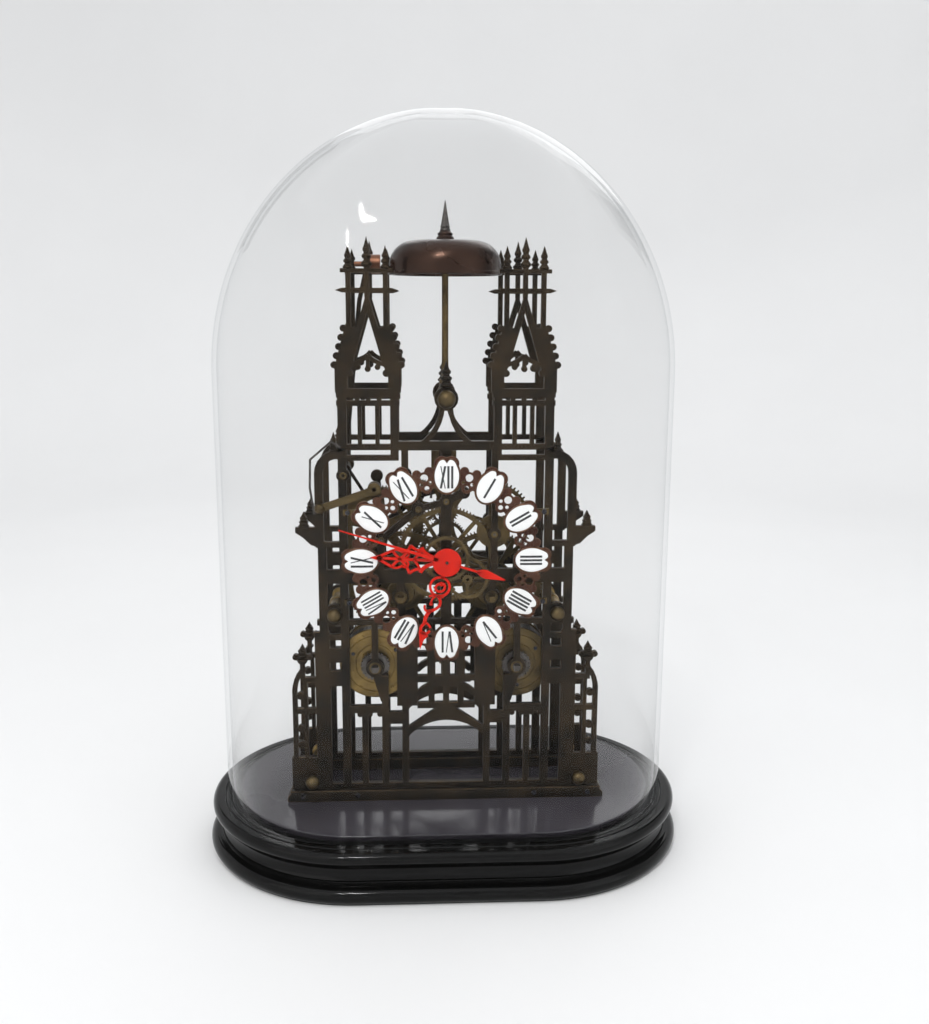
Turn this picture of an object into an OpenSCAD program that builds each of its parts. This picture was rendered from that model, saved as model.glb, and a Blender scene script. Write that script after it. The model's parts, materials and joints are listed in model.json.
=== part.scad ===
// Skeleton clock with pierced cathedral plates, striking on a bell, under a glass dome.
// Millimetres, +Z up, clock facing -Y, origin at the centre of the base's underside.

/* [Base and glass dome] */
// Overall width of the base
base_w = 340; // [330:1:350]
// Overall depth of the base
base_d = 219; // [215:1:225]
// Height of the ledge that the dome stands on
ledge_z = 35.5; // [34:0.5:37]
// Height of the platform that the plates stand on
platform_z = 39; // [38.5:0.5:40]
// Overall height of the glass dome above its rim
dome_h = 472; // [465:1:480]
// Height of the straight part of the dome
dome_wall_h = 300; // [280:5:310]
// Thickness of the glass
glass_t = 4; // [3:0.5:4.5]

/* [Plates] */
// Thickness of each frame plate
plate_t = 4; // [3:0.5:4]
// Front face of the front plate
front_y = -34.5; // [-35:0.5:-34]
// Inner face of the back plate
back_y = 17; // [17:0.5:18]
// Distance from the centre line to a tower's centre
tower_x = 51.3; // [51:0.1:51.6]
// Radius of the round bosses that hold the train pivots
boss_r = 4.6; // [4:0.1:5]

/* [Dial and hands] */
// Height of the dial centre
dial_z = 214.2; // [214:0.1:214.4]
// Radius of the circle through the cartouche centres
dial_r = 57; // [56:0.5:58]
// Length of the minute hand
minute_len = 64; // [60:1:66]
// Length of the hour hand
hour_len = 51; // [48:1:54]
// Length of the seconds hand ahead of its centre
seconds_len = 75; // [70:1:76]

/* [Trains] */
// Teeth of each fusee's great wheel
great_teeth = 96; // [96]
// Leaves of the pinions that the great wheels drive
pinion_leaves = 8; // [8]
// Radius of the spring barrels
barrel_r = 25; // [22:0.5:25]

/* [Bell and pendulum] */
// Radius of the bell's rim
bell_r = 38.2; // [36:0.2:38.2]
// Height of the bell's rim
bell_z = 401; // [400:0.5:402]
// Length of the pendulum from its pivot to the bob's centre
pendulum_len = 120; // [116:1:122]

/* [Hidden] */

bronze = [0.27, 0.22, 0.15];
brass = [0.62, 0.48, 0.22];
steel = [0.55, 0.56, 0.58];
ebony = [0.03, 0.03, 0.035];
enamel = [0.95, 0.95, 0.93];
signal_red = [0.8, 0.08, 0.04];

run_fit = 0.05;
gap = 0.3;
core = (base_w - base_d) / 2;
front_in = front_y + plate_t;
mid_y = (front_y + back_y + plate_t) / 2;
sill_top = 47;

// Arbor positions in the plane of the plates, as [x, z]
centre = [0, dial_z];
fusee_g = [31, 186];
fusee_s = [-31, 186];
barrel_g = [49, 135.5];
barrel_s = [-49, 135.5];
third = centre + 36 * [cos(25), sin(25)];
escape = [0, 236.5];
pallet = [0, 252];
minute_post = centre + 20 * [cos(-45), sin(-45)];
pin_pos = [-44, 225.8];
lock_pos = [-18.7, 247];
fly_pos = lock_pos + 18 * [cos(120), sin(120)];
hammer_pos = [-68.6, 270];
lever_pos = [-48, 261.5];

// Every pivot hole: [place, bore radius in front, bore radius behind], 0 for no hole
PIVOTS = [[centre, 2.6, 1], [fusee_g, 2.9, 1.5], [fusee_s, 2.9, 1.5],
    [barrel_g, 2.9, 1.8], [barrel_s, 2.9, 1.8],
    [third, 0.9, 0.9], [escape, 0, 0.8], [pallet, 0.8, 1.2], [pin_pos, 1, 1],
    [lock_pos, 0.8, 0.8], [fly_pos, 0.7, 0.7], [hammer_pos, 1.1, 1.1]];
PILLARS = [[76, 174.6], [-76, 174.6], [93.2, 53.8], [-93.2, 53.8]];
top_pillar_pos = [0, 321];

// ---- plane geometry helpers ----

function dist(a, b) = norm(b - a);
function heading(a, b) = atan2(b[1] - a[1], b[0] - a[0]);
function bezier(a, b, c, n) = [for (i = [0:n]) let (t = i / n)
    (1 - t) * (1 - t) * a + 2 * t * (1 - t) * b + t * t * c];
function arc(c, r, a0, a1, n) = [for (i = [0:n]) let (a = a0 + (a1 - a0) * i / n)
    c + r * [cos(a), sin(a)]];
// Phase of a driven gear so that its gap meets the driver's tooth
function mesh_phase(a, b, phase_a, na, nb) =
    heading(a, b) + 180 - (phase_a - heading(a, b)) * na / nb + 180 / nb;

module box2(x0, x1, z0, z1) translate([x0, z0]) square([x1 - x0, z1 - z0]);

module bar(a, b, w)
    translate(a) rotate(heading(a, b)) translate([0, -w / 2]) square([dist(a, b), w]);

module strip(points, w) {
    for (i = [0:len(points) - 2]) bar(points[i], points[i + 1], w);
    for (i = [1:len(points) - 2]) translate(points[i]) circle(w / 2, $fn = 10);
}

module dot(p, r) translate(p) circle(r, $fn = 16);

module both_sides() {
    children();
    mirror([1, 0]) children();
}

module crocket(x, z, h, w) {
    box2(x - w * 0.3, x + w * 0.3, z - 0.5, z + h * 0.7);
    for (k = [0:2]) dot([x, z + h * (0.14 + 0.24 * k)], w * (0.52 - 0.09 * k));
    polygon([[x - w * 0.35, z + h * 0.62], [x + w * 0.35, z + h * 0.62], [x, z + h]]);
}

// Stands a plane outline in X-Z up at depth y, t deep towards +Y
module upright(y, t) translate([0, y + t, 0]) rotate([90, 0, 0]) linear_extrude(t) children();

// A round piece along Y from y0 to y1, centred on the arbor p
module rod(p, y0, y1, r, fn = 32)
    translate([p[0], y0, p[1]]) rotate([-90, 0, 0]) cylinder(h = y1 - y0, r = r, $fn = fn);

// A turned piece along Y: the profile lists [radius, y]
module turned(p, profile) translate([p[0], 0, p[1]]) rotate([-90, 0, 0])
    rotate_extrude($fn = 48) polygon(concat([[0, profile[0][1]]], profile,
        [[0, profile[len(profile) - 1][1]]]));

// Corner radius of a twelve-sided hole that clears a round of radius r
function around_12(r) = r / cos(15) + 0.02;

// ---- gears ----

module teeth(n, m, phase, half_root = 0.23, half_tip = 0.07, up = 0.65, down = 1.25) {
    pitch = 360 / n;
    rp = m * n / 2;
    polygon([for (i = [0:n - 1], c = [[-half_root, -down * m], [-half_root * 0.78, 0],
        [-half_tip, up * m], [half_tip, up * m], [half_root * 0.78, 0], [half_root, -down * m]])
        (rp + c[1]) * [cos(phase + (i + c[0]) * pitch), sin(phase + (i + c[0]) * pitch)]]);
}

module crossed_wheel(n, m, phase, arms, rim, hub, bore) difference() {
    teeth(n, m, phase);
    difference() {
        circle(m * n / 2 - 1.25 * m - rim, $fn = 72);
        circle(hub, $fn = 32);
        for (i = [0:arms - 1]) rotate(phase + i * 360 / arms) translate([0, -rim * 0.45])
            square([m * n / 2 - 1.3 * m, rim * 0.9]);
    }
    circle(around_12(bore), $fn = 12);
}

module wheel_at(p, y, t, n, m, phase, arms = 5, rim = 2.6, hub = 4, bore = 1.5)
    translate([p[0], y + t, p[1]]) rotate([90, 0, 0]) linear_extrude(t)
        crossed_wheel(n, m, phase, arms, rim, hub, bore);

module pinion_at(p, y, t, n, m, phase) translate([p[0], y + t, p[1]]) rotate([90, 0, 0])
    linear_extrude(t) teeth(n, m, phase, 0.17, 0.06, 0.6, 1.35);

great_m = 2 * dist(fusee_g, centre) / (great_teeth + pinion_leaves);
strike_m = 2 * dist(fusee_s, pin_pos) / (great_teeth + pinion_leaves);
centre_m = 2 * 36 / (84 + 7);
third_m = 2 * 36 / (60 + 12);
seconds_m = 2 * dist(centre, escape) / (52 + 18);
cannon_m = 2 * 20 / (16 + 48);
hour_m = 2 * 20 / (14 + 56);
pin_m = 2 * dist(pin_pos, lock_pos) / (78 + 8);
lock_m = 2 * dist(lock_pos, fly_pos) / (64 + 8);

centre_phase = mesh_phase(fusee_g, centre, 0, great_teeth, pinion_leaves);
third_phase = mesh_phase(centre, third, centre_phase, 84, 7);
seconds_phase = mesh_phase(third, centre, third_phase, 60, 12);
escape_phase = mesh_phase(centre, escape, seconds_phase, 52, 18);
minute_phase = mesh_phase(centre, minute_post, centre_phase, 16, 48);
hour_phase = mesh_phase(minute_post, centre, minute_phase, 14, 56);
pin_phase = mesh_phase(fusee_s, pin_pos, 0, great_teeth, pinion_leaves);
lock_phase = mesh_phase(pin_pos, lock_pos, pin_phase, 78, 8);
fly_phase = mesh_phase(lock_pos, fly_pos, lock_phase, 64, 8);

// ---- base and dome ----

module stadium_sweep(profile) {
    for (s = [-1, 1]) translate([s * core, 0, 0]) rotate([0, 0, s * 90 - 90])
        rotate([0, 0, -90]) rotate_extrude(angle = 180, $fn = 96) polygon(profile);
    for (s = [0, 180]) rotate([0, 0, s]) rotate([90, 0, 90])
        translate([0, 0, -core]) linear_extrude(2 * core) polygon(profile);
}

module base_foot() color(ebony) stadium_sweep(concat(
    [[0, 0], [base_d / 2 - 3, 0]], arc([base_d / 2 - 5.5, 6], 5.5, -60, 90, 8),
    [[base_d / 2 - 8, 12], [base_d / 2 - 8, 14], [0, 14]]));

module base_moulding() color(ebony) stadium_sweep(concat(
    [[0, 14], [base_d / 2 - 9, 14]], arc([base_d / 2 - 1, 20], 9, 215, 140, 8),
    arc([base_d / 2 - 6.5, 31], 4.5, -60, 90, 8), [[0, ledge_z]]));

module platform() color(ebony) stadium_sweep([[0, ledge_z], [base_d / 2 - 21.4, ledge_z],
    [base_d / 2 - 21.4, platform_z - 1], [base_d / 2 - 22.4, platform_z], [0, platform_z]]);

dome_r = base_d / 2 - 13.1;
dome_crown = dome_h - dome_wall_h;
RINGS = 12;
AROUND = 40;
function dome_ring(grow, z, k) = [for (i = [0:AROUND - 1]) let (a = (i + 0.5) * 360 / AROUND)
    [k * (sign(cos(a)) * core + (dome_r - grow) * cos(a)), k * (dome_r - grow) * sin(a), z]];
function dome_shell(grow, z0, h) = concat([dome_ring(grow, z0, 1)],
    [for (i = [0:RINGS - 1]) let (a = 90 * i / RINGS)
        dome_ring(grow, ledge_z + dome_wall_h + h * sin(a), cos(a))]);
function skin(first, rows, flip) = [for (j = [0:rows - 2], i = [0:AROUND - 1])
    let (a = first + j * AROUND + i, b = first + j * AROUND + (i + 1) % AROUND)
    flip ? [a, a + AROUND, b + AROUND, b] : [a, b, b + AROUND, a + AROUND]];

module dome_solid(grow, z0, h) {
    rings = dome_shell(grow, z0, h);
    points = [for (r = rings, p = r) p];
    top = len(points);
    polyhedron(concat(points, [[0, 0, ledge_z + dome_wall_h + h]]), concat(
        [[for (i = [0:AROUND - 1]) i]], skin(0, len(rings), true),
        [for (i = [0:AROUND - 1]) [top - AROUND + i, top, top - AROUND + (i + 1) % AROUND]]));
}

module glass_dome() color([0.8, 0.9, 0.92, 0.25]) difference() {
    dome_solid(0, ledge_z, dome_crown);
    dome_solid(glass_t, ledge_z - 1, dome_crown - glass_t);
}

// ---- frame plates ----

module tower() {
    box2(tower_x + 14.4, tower_x + 20.3, 280, 328);
    box2(tower_x - 19.7, tower_x - 14.3, 280, 328);
    for (z = [280, 287.4]) box2(tower_x - 19.7, tower_x + 20.3, z, z + 3.6);
    for (s = [-1, 1]) box2(tower_x + 5.8 * s - 1.4, tower_x + 5.8 * s + 1.4, 290, 318);
    for (z = [316.3, 321.8]) box2(tower_x - 20.6, tower_x + 21, z, z + 3.6);
    for (s = [-1, 0, 1]) dot([tower_x + 7.2 * s, 320.9], 1.7);
    difference() {
        polygon([[tower_x - 21.6, 325], [tower_x + 21.6, 325], [tower_x + 21.6, 341],
            [tower_x + 14.6, 367], [tower_x + 7, 367], [tower_x, 390], [tower_x - 7, 367],
            [tower_x - 14.6, 367], [tower_x - 21.6, 341]]);
        polygon([[tower_x, 377], [tower_x + 10.2, 342], [tower_x + 13.2, 337],
            [tower_x + 13.2, 327.6], [tower_x - 13.2, 327.6], [tower_x - 13.2, 337],
            [tower_x - 10.2, 342]]);
    }
    for (s = [-1, 1]) {
        strip(bezier([tower_x, 349.5], [tower_x + 3 * s, 345], [tower_x + 11.5 * s, 343], 4), 2.8);
        dot([tower_x + 6.4 * s, 341.6], 1.9);
        dot([tower_x + 12 * s, 337.6], 2.4);
        for (k = [0:4]) dot([tower_x + (21.9 - 1.6 * k) * s, 343 + 5.9 * k], 2.3);
        box2(tower_x + 12 * s - 1.6, tower_x + 12 * s + 1.6, 366, 404);
        crocket(tower_x + 12 * s, 403, 15.8, 5.2);
    }
    box2(tower_x - 1.2, tower_x + 1.2, 340, 349);
    dot([tower_x, 340.4], 2);
    box2(tower_x - 1.6, tower_x + 1.6, 386, 406);
    crocket(tower_x, 404.5, 19.8, 5.6);
    box2(tower_x - 17, tower_x + 17, 401.8, 404.4);
    polygon([[tower_x - 20.5, 390.7], [tower_x - 16, 389.2], [tower_x + 16, 389.2],
        [tower_x + 20.5, 390.7], [tower_x + 16, 392.2], [tower_x - 16, 392.2]]);
}

module flank() {
    box2(66.3, 72, 48, 290);
    box2(82.2, 87.8, 221, 272);
    box2(80.6, 86.4, 160, 224);
    strip(arc([72.5, 271.5], 12.5, 0, 96, 6), 5.6);
    crocket(74.6, 285, 14, 5);
    box2(71, 84, 221, 225);
    polygon([[85, 221], [91, 223], [96, 228], [101.2, 231.5], [101.2, 235], [85, 235]]);
    crocket(95.5, 234, 11.5, 6);
    dot([76, 174.6], 7);
    box2(71, 82, 156, 160);
    box2(71, 81, 123, 134);
    box2(71, 81, 140, 150);
    box2(79.7, 90, 48, 162);
    box2(95.6, 98.4, 68, 128);
    box2(102.8, 106.2, 68, 121);
    strip(bezier([104.6, 119], [104, 130], [97, 136], 5), 3.4);
    box2(89, 106.2, 103, 107);
    for (z = [80, 92, 116]) dot([100.6, z], 2.6);
    box2(89, 98, 126, 129.5);
    box2(97.1, 100.3, 126, 142);
    crocket(98.7, 140.5, 12.5, 7);
    for (s = [-1, 1]) dot([98.7 + 4.6 * s, 144], 2.1);
    box2(88, 107.5, 48, 71);
    dot([93.2, 53.8], 6);
}

module bays() {
    box2(39.8, 68, 103, 108.3);
    box2(54.3, 58.5, 48, 105);
    box2(39.8, 44.6, 48, 130);
    box2(28, 41, 94.8, 103.5);
    box2(19.6, 34, 108, 168);
    box2(26, 30.6, 48, 110);
    for (x = [46, 53, 59.8, 66]) dot([x, 102], 2);
    bar([42.2, 112], barrel_g, 6);
    bar(barrel_g, [barrel_g[0], 168], 4.4);
    dot(barrel_g, 6.4);
}

module lattice() {
    for (z = [106, 125.8]) box2(-20, 20, z, z + 4.2);
    for (x = [-10.1, 0, 10.1]) box2(x - 2.1, x + 2.1, 107, 128);
    for (x = [-10.2, 0, 10.2]) box2(x - 2.8, x + 2.8, 128, 168);
    strip(arc([0, 97.5], 27, 42, 138, 8), 4.6);
    difference() {
        polygon([[-29, 82], [-29, 90.5], [-5, 107], [5, 107], [29, 90.5], [29, 82], [19, 89]]);
        polygon(concat([[-40, 70]], arc([0, 62], 35.2, 130, 50, 10), [[40, 70]]));
    }
}

module centre_arch() {
    box2(-33, 33, 286.8, 292.8);
    both_sides() strip(bezier([2.5, 316], [4, 299], [17.5, 290], 6), 3.4);
    dot(top_pillar_pos, 8);
    crocket(0, 327, 19, 7);
}

module movement_bars() {
    box2(-81, 81, 196, 205.6);
    box2(-88, 88, 166.6, 170.6);
    box2(-3.6, 3.6, 167, 290);
    both_sides() {
        bar([31, 168], [31, 198], 6);
        bar([48, 204], [48, 214], 5);
    }
    strip([[-44, 204], pin_pos, lock_pos, fly_pos, [-27.7, 289]], 4.4);
    strip([[32.6, 204], third, [32.6, 289]], 4.4);
    bar(lock_pos, pallet, 4);
    for (p = PIVOTS) dot(p[0], boss_r + (p[1] > 2 ? 1.2 : 0));
    dot(lever_pos, 4.4);
    bar(cock_foot, pallet, 5);
    dot(cock_foot, 4);
    bar(lever_pos, pin_pos, 4.4);
}

module plate_outline() offset(delta = 0.01) {
    both_sides() {
        tower();
        flank();
        bays();
    }
    lattice();
    centre_arch();
    movement_bars();
    box2(-107.5, 107.5, sill_top + 0.02, 51);
}

module plate(y, side) difference() {
    upright(y, plate_t) plate_outline();
    for (p = PIVOTS) if (p[side] > 0) rod(p[0], y - 1, y + plate_t + 1, p[side] + 1.3, 12);
    for (p = concat(PILLARS, [top_pillar_pos])) rod(p, y - 1, y + plate_t + 1, 2.2, 12);
}

module front_plate() color(bronze) plate(front_y, 1);
module back_plate() color(bronze) plate(back_y, 2);

module bushes(y, side) for (p = PIVOTS) if (p[side] > 0) difference() {
    rod(p[0], y, y + plate_t, p[side] + 1.3, 12);
    rod(p[0], y - 1, y + plate_t + 1, p[side] + run_fit);
}

module front_bushes() color(brass) bushes(front_y, 1);
module back_bushes() color(brass) bushes(back_y, 2);

module sill(y) upright(y - 3.4, plate_t + 6.8) polygon([[-110.9, platform_z],
    [110.9, platform_z], [110.9, 43], [109, 45], [109, sill_top], [-109, sill_top],
    [-109, 45], [-110.9, 43]]);

module front_sill() color(bronze) sill(front_y);
module back_sill() color(bronze) sill(back_y);

module pillar(p) turned(p, [[1.9, front_y - 3], [1.9, front_in], [5.2, front_in],
    [5.2, front_in + 3], [3.6, front_in + 5], [4.6, mid_y - 3], [4.6, mid_y + 3],
    [3.6, back_y - 5], [5.2, back_y - 3], [5.2, back_y], [1.9, back_y],
    [1.9, back_y + plate_t + 3]]);

module plate_pillars() color(brass) for (p = PILLARS) pillar(p);

module top_pillar() color(brass) difference() {
    union() {
        pillar(top_pillar_pos);
        translate([0, mid_y, top_pillar_pos[1]]) cylinder(h = 8, r = 4.2, $fn = 32);
    }
    translate([0, mid_y, top_pillar_pos[1] + 2]) cylinder(h = 10, r = 1.8, $fn = 32);
}

module ball_nuts() color(brass) for (p = concat(PILLARS, [top_pillar_pos])) difference() {
    r = p[0] == 0 ? 6 : 5;
    turned(p, concat([for (a = [-90:15:30]) [r * cos(a), front_y - r * 0.7 + r * sin(a)]],
        [[r * 0.72, front_y]]));
    rod(p, front_y - 3.2, front_y + 1, 1.95);
}

module rear_nuts() color(brass) for (p = concat(PILLARS, [top_pillar_pos])) difference() {
    rod(p, back_y + plate_t, back_y + plate_t + 3.4, 4.4, 6);
    rod(p, back_y, back_y + plate_t + 5, 1.95);
}

// ---- bell ----

bell_top = bell_z + 23;

module bell_post() color(brass) translate([0, mid_y, 0]) rotate_extrude($fn = 32)
    polygon([[0, 323.2], [1.7, 323.2], [1.7, 329], [4, 329], [4, 332], [2.6, 334],
        [2.6, bell_top - 6], [4, bell_top - 4], [4, bell_top - 2], [1.5, bell_top - 2],
        [1.5, bell_top + 7], [0, bell_top + 7]]);

module bell() color([0.3, 0.15, 0.09]) translate([0, mid_y, 0]) rotate_extrude($fn = 96)
    polygon(concat([[bell_r - 2, bell_z], [bell_r, bell_z], [bell_r, bell_z + 2]],
        arc([bell_r - 17, bell_top - 17], 17, 20, 90, 8), [[1.6, bell_top],
        [1.6, bell_top - 2]], arc([bell_r - 17, bell_top - 17], 15, 90, 8, 8)));

module bell_collar() color(bronze) translate([0, mid_y, 0]) rotate_extrude($fn = 32)
    polygon([[1.6, bell_top], [5.8, bell_top], [5.8, bell_top + 2], [4.6, bell_top + 2.6],
        [5.2, bell_top + 3.4], [5.2, bell_top + 4.4], [3.4, bell_top + 5.6],
        [1.6, bell_top + 5.6]]);

module bell_spire() color(steel) translate([0, mid_y, 0]) rotate_extrude($fn = 32)
    polygon([[1.6, bell_top + 5.6], [3.4, bell_top + 5.6], [3.2, bell_top + 8],
        [1.8, bell_top + 15], [0.3, bell_top + 25.5], [0, bell_top + 25.5],
        [0, bell_top + 7.2], [1.6, bell_top + 7.2]]);

// ---- dial ----

dial_y = -44.8;
dial_t = 1.6;

module around_dial() for (i = [0:11]) translate(centre) rotate(-30 * i) translate([0, dial_r])
    children();

module cartouche2(grow) offset(delta = grow) union() {
    scale([1, 1.36]) circle(8.1, $fn = 32);
    for (s = [-1, 1]) translate([3.3 * s, 8.2]) circle(3.6, $fn = 16);
}

module dial_ring() color([0.36, 0.2, 0.13]) upright(dial_y, dial_t) offset(delta = 0.01)
    difference() {
        union() {
            translate(centre) difference() {
                circle(61.5, $fn = 96);
                circle(50, $fn = 96);
            }
            around_dial() cartouche2(1.4);
            around_dial() for (s = [-1, 1]) dot([11.8 * s, 3], 3);
            for (i = [0:11]) translate(centre) rotate(-30 * i - 15) dot([0, 50.5], 3.6);
        }
        for (i = [0:11]) translate(centre) rotate(-30 * i - 15) {
            dot([0, 57.5], 2.6);
            dot([0, 50.5], 1.6);
            for (s = [-1, 1]) dot([2.9 * s, 53.6], 1.2);
        }
    }

foot_r = 62.3;
module dial_feet() color(brass) for (a = [30, 150, 210, 330]) {
    p = centre + foot_r * [cos(a), sin(a)];
    rod(p, dial_y + dial_t, front_y, 1.8);
    upright(front_y - 1.4, 1.4) bar(p, p + [sign(cos(a)) * 15, 0], 4);
}

module dial_cartouches() color(enamel) for (i = [0:11]) upright(dial_y - 1.4, 1.4)
    translate(centre) rotate(-30 * i) translate([0, dial_r]) cartouche2(0);

// Strokes of each numeral, as [offset, lean] pairs, read from the dial's centre outwards
NUMERALS = [[[-3.2, 1], [-3.2, -1], [1.6, 0], [3.8, 0]], [[0, 0]], [[-1.2, 0], [1.2, 0]],
    [[-2.2, 0], [0, 0], [2.2, 0]], [[-3.4, 0], [-1.2, 0], [1, 0], [3.2, 0]],
    [[-1.3, -0.5], [1.3, 0.5]], [[-2.8, -0.5], [-0.4, 0.5], [2.8, 0]],
    [[-3.6, -0.5], [-1.4, 0.5], [1.6, 0], [3.6, 0]],
    [[-4.4, -0.5], [-2.4, 0.5], [0.4, 0], [2.4, 0], [4.4, 0]], [[-3, 0], [0.8, 1], [0.8, -1]],
    [[0, 1], [0, -1]], [[-2, 1], [-2, -1], [2.8, 0]]];

module numeral(strokes) for (s = strokes)
    bar([s[0] * 0.9 - s[1] * 1.7, -6.2], [s[0] * 0.9 + s[1] * 1.7, 6.2], 0.9);

module dial_numerals() color([0.05, 0.05, 0.05]) for (i = [0:11]) upright(dial_y - 1.6, 0.2)
    translate(centre) rotate(-30 * i) translate([0, dial_r - 1]) offset(delta = 0.01)
        numeral(NUMERALS[i]);

// ---- barrels, fusees and chains ----

module barrel(p) difference() {
    union() {
        rod(p, -24, -2, barrel_r - 1.2, 96);
        rod(p, -24, -22, barrel_r, 96);
        rod(p, -4, -2, barrel_r, 96);
    }
    rod(p, -22, -4, barrel_r - 3, 96);
    rod(p, -25, -1, 3 + run_fit);
}

module going_barrel() color(brass) barrel(barrel_g);
module strike_barrel() color(brass) barrel(barrel_s);

module barrel_arbor(p) {
    rod(p, front_y - 0.4, -2.4, 2.9);
    rod(p, -21, -5, 6, 32);
    rod(p, -25.6, -24.3, 4.6, 32);
    upright(front_in + 0.3, 2) translate(p) teeth(24, 0.8, 0, 0.45, 0.1, 0.8, 0.8);
    upright(front_y - 4, 3.6) translate(p) square(4, center = true);
    rod(p, -2.6, back_y - gap, 2.6);
    rod(p, back_y - 1, back_y + plate_t, 1.8);
}

module going_barrel_arbor() color(steel) barrel_arbor(barrel_g);
module strike_barrel_arbor() color(steel) barrel_arbor(barrel_s);

FUSEE_TURNS = 7;
module fusee(p, y_end) {
    turned(p, concat([[9, -24]], [for (i = [0:FUSEE_TURNS - 1]) each
        let (y = -23.2 + i * 2.9, r = 9.6 + i * 1.35)
        [[r, y], [r, y + 1.2], [r - 1, y + 1.5], [r - 1, y + 2.6]]], [[18.6, -2.8],
        [18.6, -1.8]]));
    rod(p, -2, y_end, 5.4);
    rod(p, front_in + gap, -23.8, 3.6);
    rod(p, front_y - 0.4, front_in + 1, 2.9);
    upright(front_y - 7.4, 7.2) translate(p) square(4, center = true);
    rod(p, y_end - 0.5, back_y - gap, 2.6);
    rod(p, back_y - 1, back_y + plate_t, 1.5);
}

module going_fusee() color(brass) fusee(fusee_g, -1);
module strike_fusee() color(brass) fusee(fusee_s, 3.5);
module going_great_wheel() color(brass)
    wheel_at(fusee_g, -1, 2.5, great_teeth, great_m, 0, 6, 3.4, 8, 2.6);
module strike_great_wheel() color(brass)
    wheel_at(fusee_s, 3.5, 2.5, great_teeth, strike_m, 0, 6, 3.4, 8, 2.6);

chain_y = -13.1;
module chain(s) {
    a = [s * barrel_g[0], barrel_g[1]];
    b = [s * fusee_g[0], fusee_g[1]];
    ra = barrel_r - 1.2 + 1;
    rb = 14.4;
    lean = asin((ra - rb) / dist(a, b));
    side = heading(a, b) - s * (90 - lean);
    upright(chain_y, 1.2) bar(a + ra * [cos(side), sin(side)], b + rb * [cos(side), sin(side)], 1);
}

module fusee_chains() color(steel) for (s = [-1, 1]) chain(s);

// ---- going train ----

module tube_along(p, y0, y1, r, bore) difference() {
    rod(p, y0, y1, r);
    rod(p, y0 - 1, y1 + 1, bore);
}

seconds_r = 1;
pipe_r = 2.6;

module centre_arbor() color(steel) difference() {
    union() {
        rod(centre, -49.4, 2.6, pipe_r);
        pinion_at(centre, -1.6, 3.7, pinion_leaves, great_m, centre_phase);
    }
    rod(centre, -60, 10, seconds_r + run_fit);
}

module centre_wheel() color(brass)
    wheel_at(centre, -28, 1.6, 84, centre_m, centre_phase, 5, 3, 6, pipe_r + 0.1);

module cannon_pinion() color(brass) difference() {
    pinion_at(centre, -37.8, 2.4, 16, cannon_m, centre_phase);
    rod(centre, -40, -30, pipe_r + 0.01);
}

module third_arbor() color(steel) {
    rod(third, front_y + 0.5, back_y + plate_t - 0.5, 0.9);
    rod(third, front_in + gap, back_y - gap, 1.5);
    pinion_at(third, -28.8, 3.2, 7, centre_m, third_phase);
}

module third_wheel() color(brass) {
    wheel_at(third, 6.8, 1.4, 60, third_m, third_phase, 5, 2.8, 5, 1.5);
    tube_along(third, -24, -22.8, 11.5, 1.52);
}

module seconds_arbor() color(steel) {
    rod(centre, -52.4, back_y + plate_t - 0.5, seconds_r);
    rod(centre, 3, back_y - gap, 1.6);
    pinion_at(centre, 6.4, 2.2, 12, third_m, seconds_phase);
}

module seconds_wheel() color(brass)
    wheel_at(centre, 10.8, 1.4, 52, seconds_m, seconds_phase, 4, 2.2, 4, 1.6);

module escape_arbor() color(steel) {
    rod(escape, cock_y - 0.2, back_y + plate_t - 0.5, 0.8);
    rod(escape, cock_y + 2.5, back_y - gap, 1.3);
    pinion_at(escape, 10.5, 2, 18, seconds_m, escape_phase);
}

cock_y = -3;
cock_foot = [12, 258];
module escape_cock() color(brass) {
    difference() {
        upright(cock_y, 2.2) {
            bar(cock_foot, escape, 4.6);
            dot(escape, 3.4);
            dot(cock_foot, 3.2);
        }
        rod(escape, cock_y - 1, cock_y + 4, 0.8 + run_fit);
    }
    rod(cock_foot, cock_y + 2, back_y, 2.4);
}

ESCAPE_TEETH = 30;
escape_r = 11;
module escape_wheel() color(brass) upright(13.6, 1.2) translate(escape) difference() {
    polygon([for (i = [0:ESCAPE_TEETH - 1], c = [[0, 9.2], [0.12, escape_r], [0.2, escape_r],
        [0.62, 9.2]]) c[1] * [cos((i + c[0]) * 12), sin((i + c[0]) * 12)]]);
    difference() {
        circle(7.4, $fn = 40);
        circle(2.8, $fn = 24);
        for (a = [0:90:270]) rotate(a) translate([0, -0.7]) square([8, 1.4]);
    }
    circle(around_12(1.3), $fn = 12);
}

module pallets() color(steel) {
    rod(pallet, front_y + 0.5, back_y + plate_t - 0.2, 0.8);
    rod(pallet, front_in + gap, back_y - gap, 1.5);
    rod(pallet, back_y - 1, back_y + plate_t + 3, 1.2);
    upright(13.4, 1.6) translate(pallet) both_sides()
        strip([[0, 0], [5.6, 0.4], [9.2, -3.4], [9.4, -6.2]], 1.7);
}

crutch_y = back_y + plate_t + 1;
module crutch() color(brass) {
    upright(crutch_y, 1.2) difference() {
        translate(pallet) {
            dot([0, 0], 3.2);
            box2(-1.2, 1.2, -40, 0);
        }
        translate(pallet) circle(around_12(1.2), $fn = 12);
    }
    for (s = [-1, 1]) translate([2.1 * s - 0.6, crutch_y, pallet[1] - 42])
        cube([1.2, 11, 3]);
    translate([-2.7, crutch_y, pallet[1] - 42]) cube([5.4, 1.2, 3]);
}

pend_y = crutch_y + 6;

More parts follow.
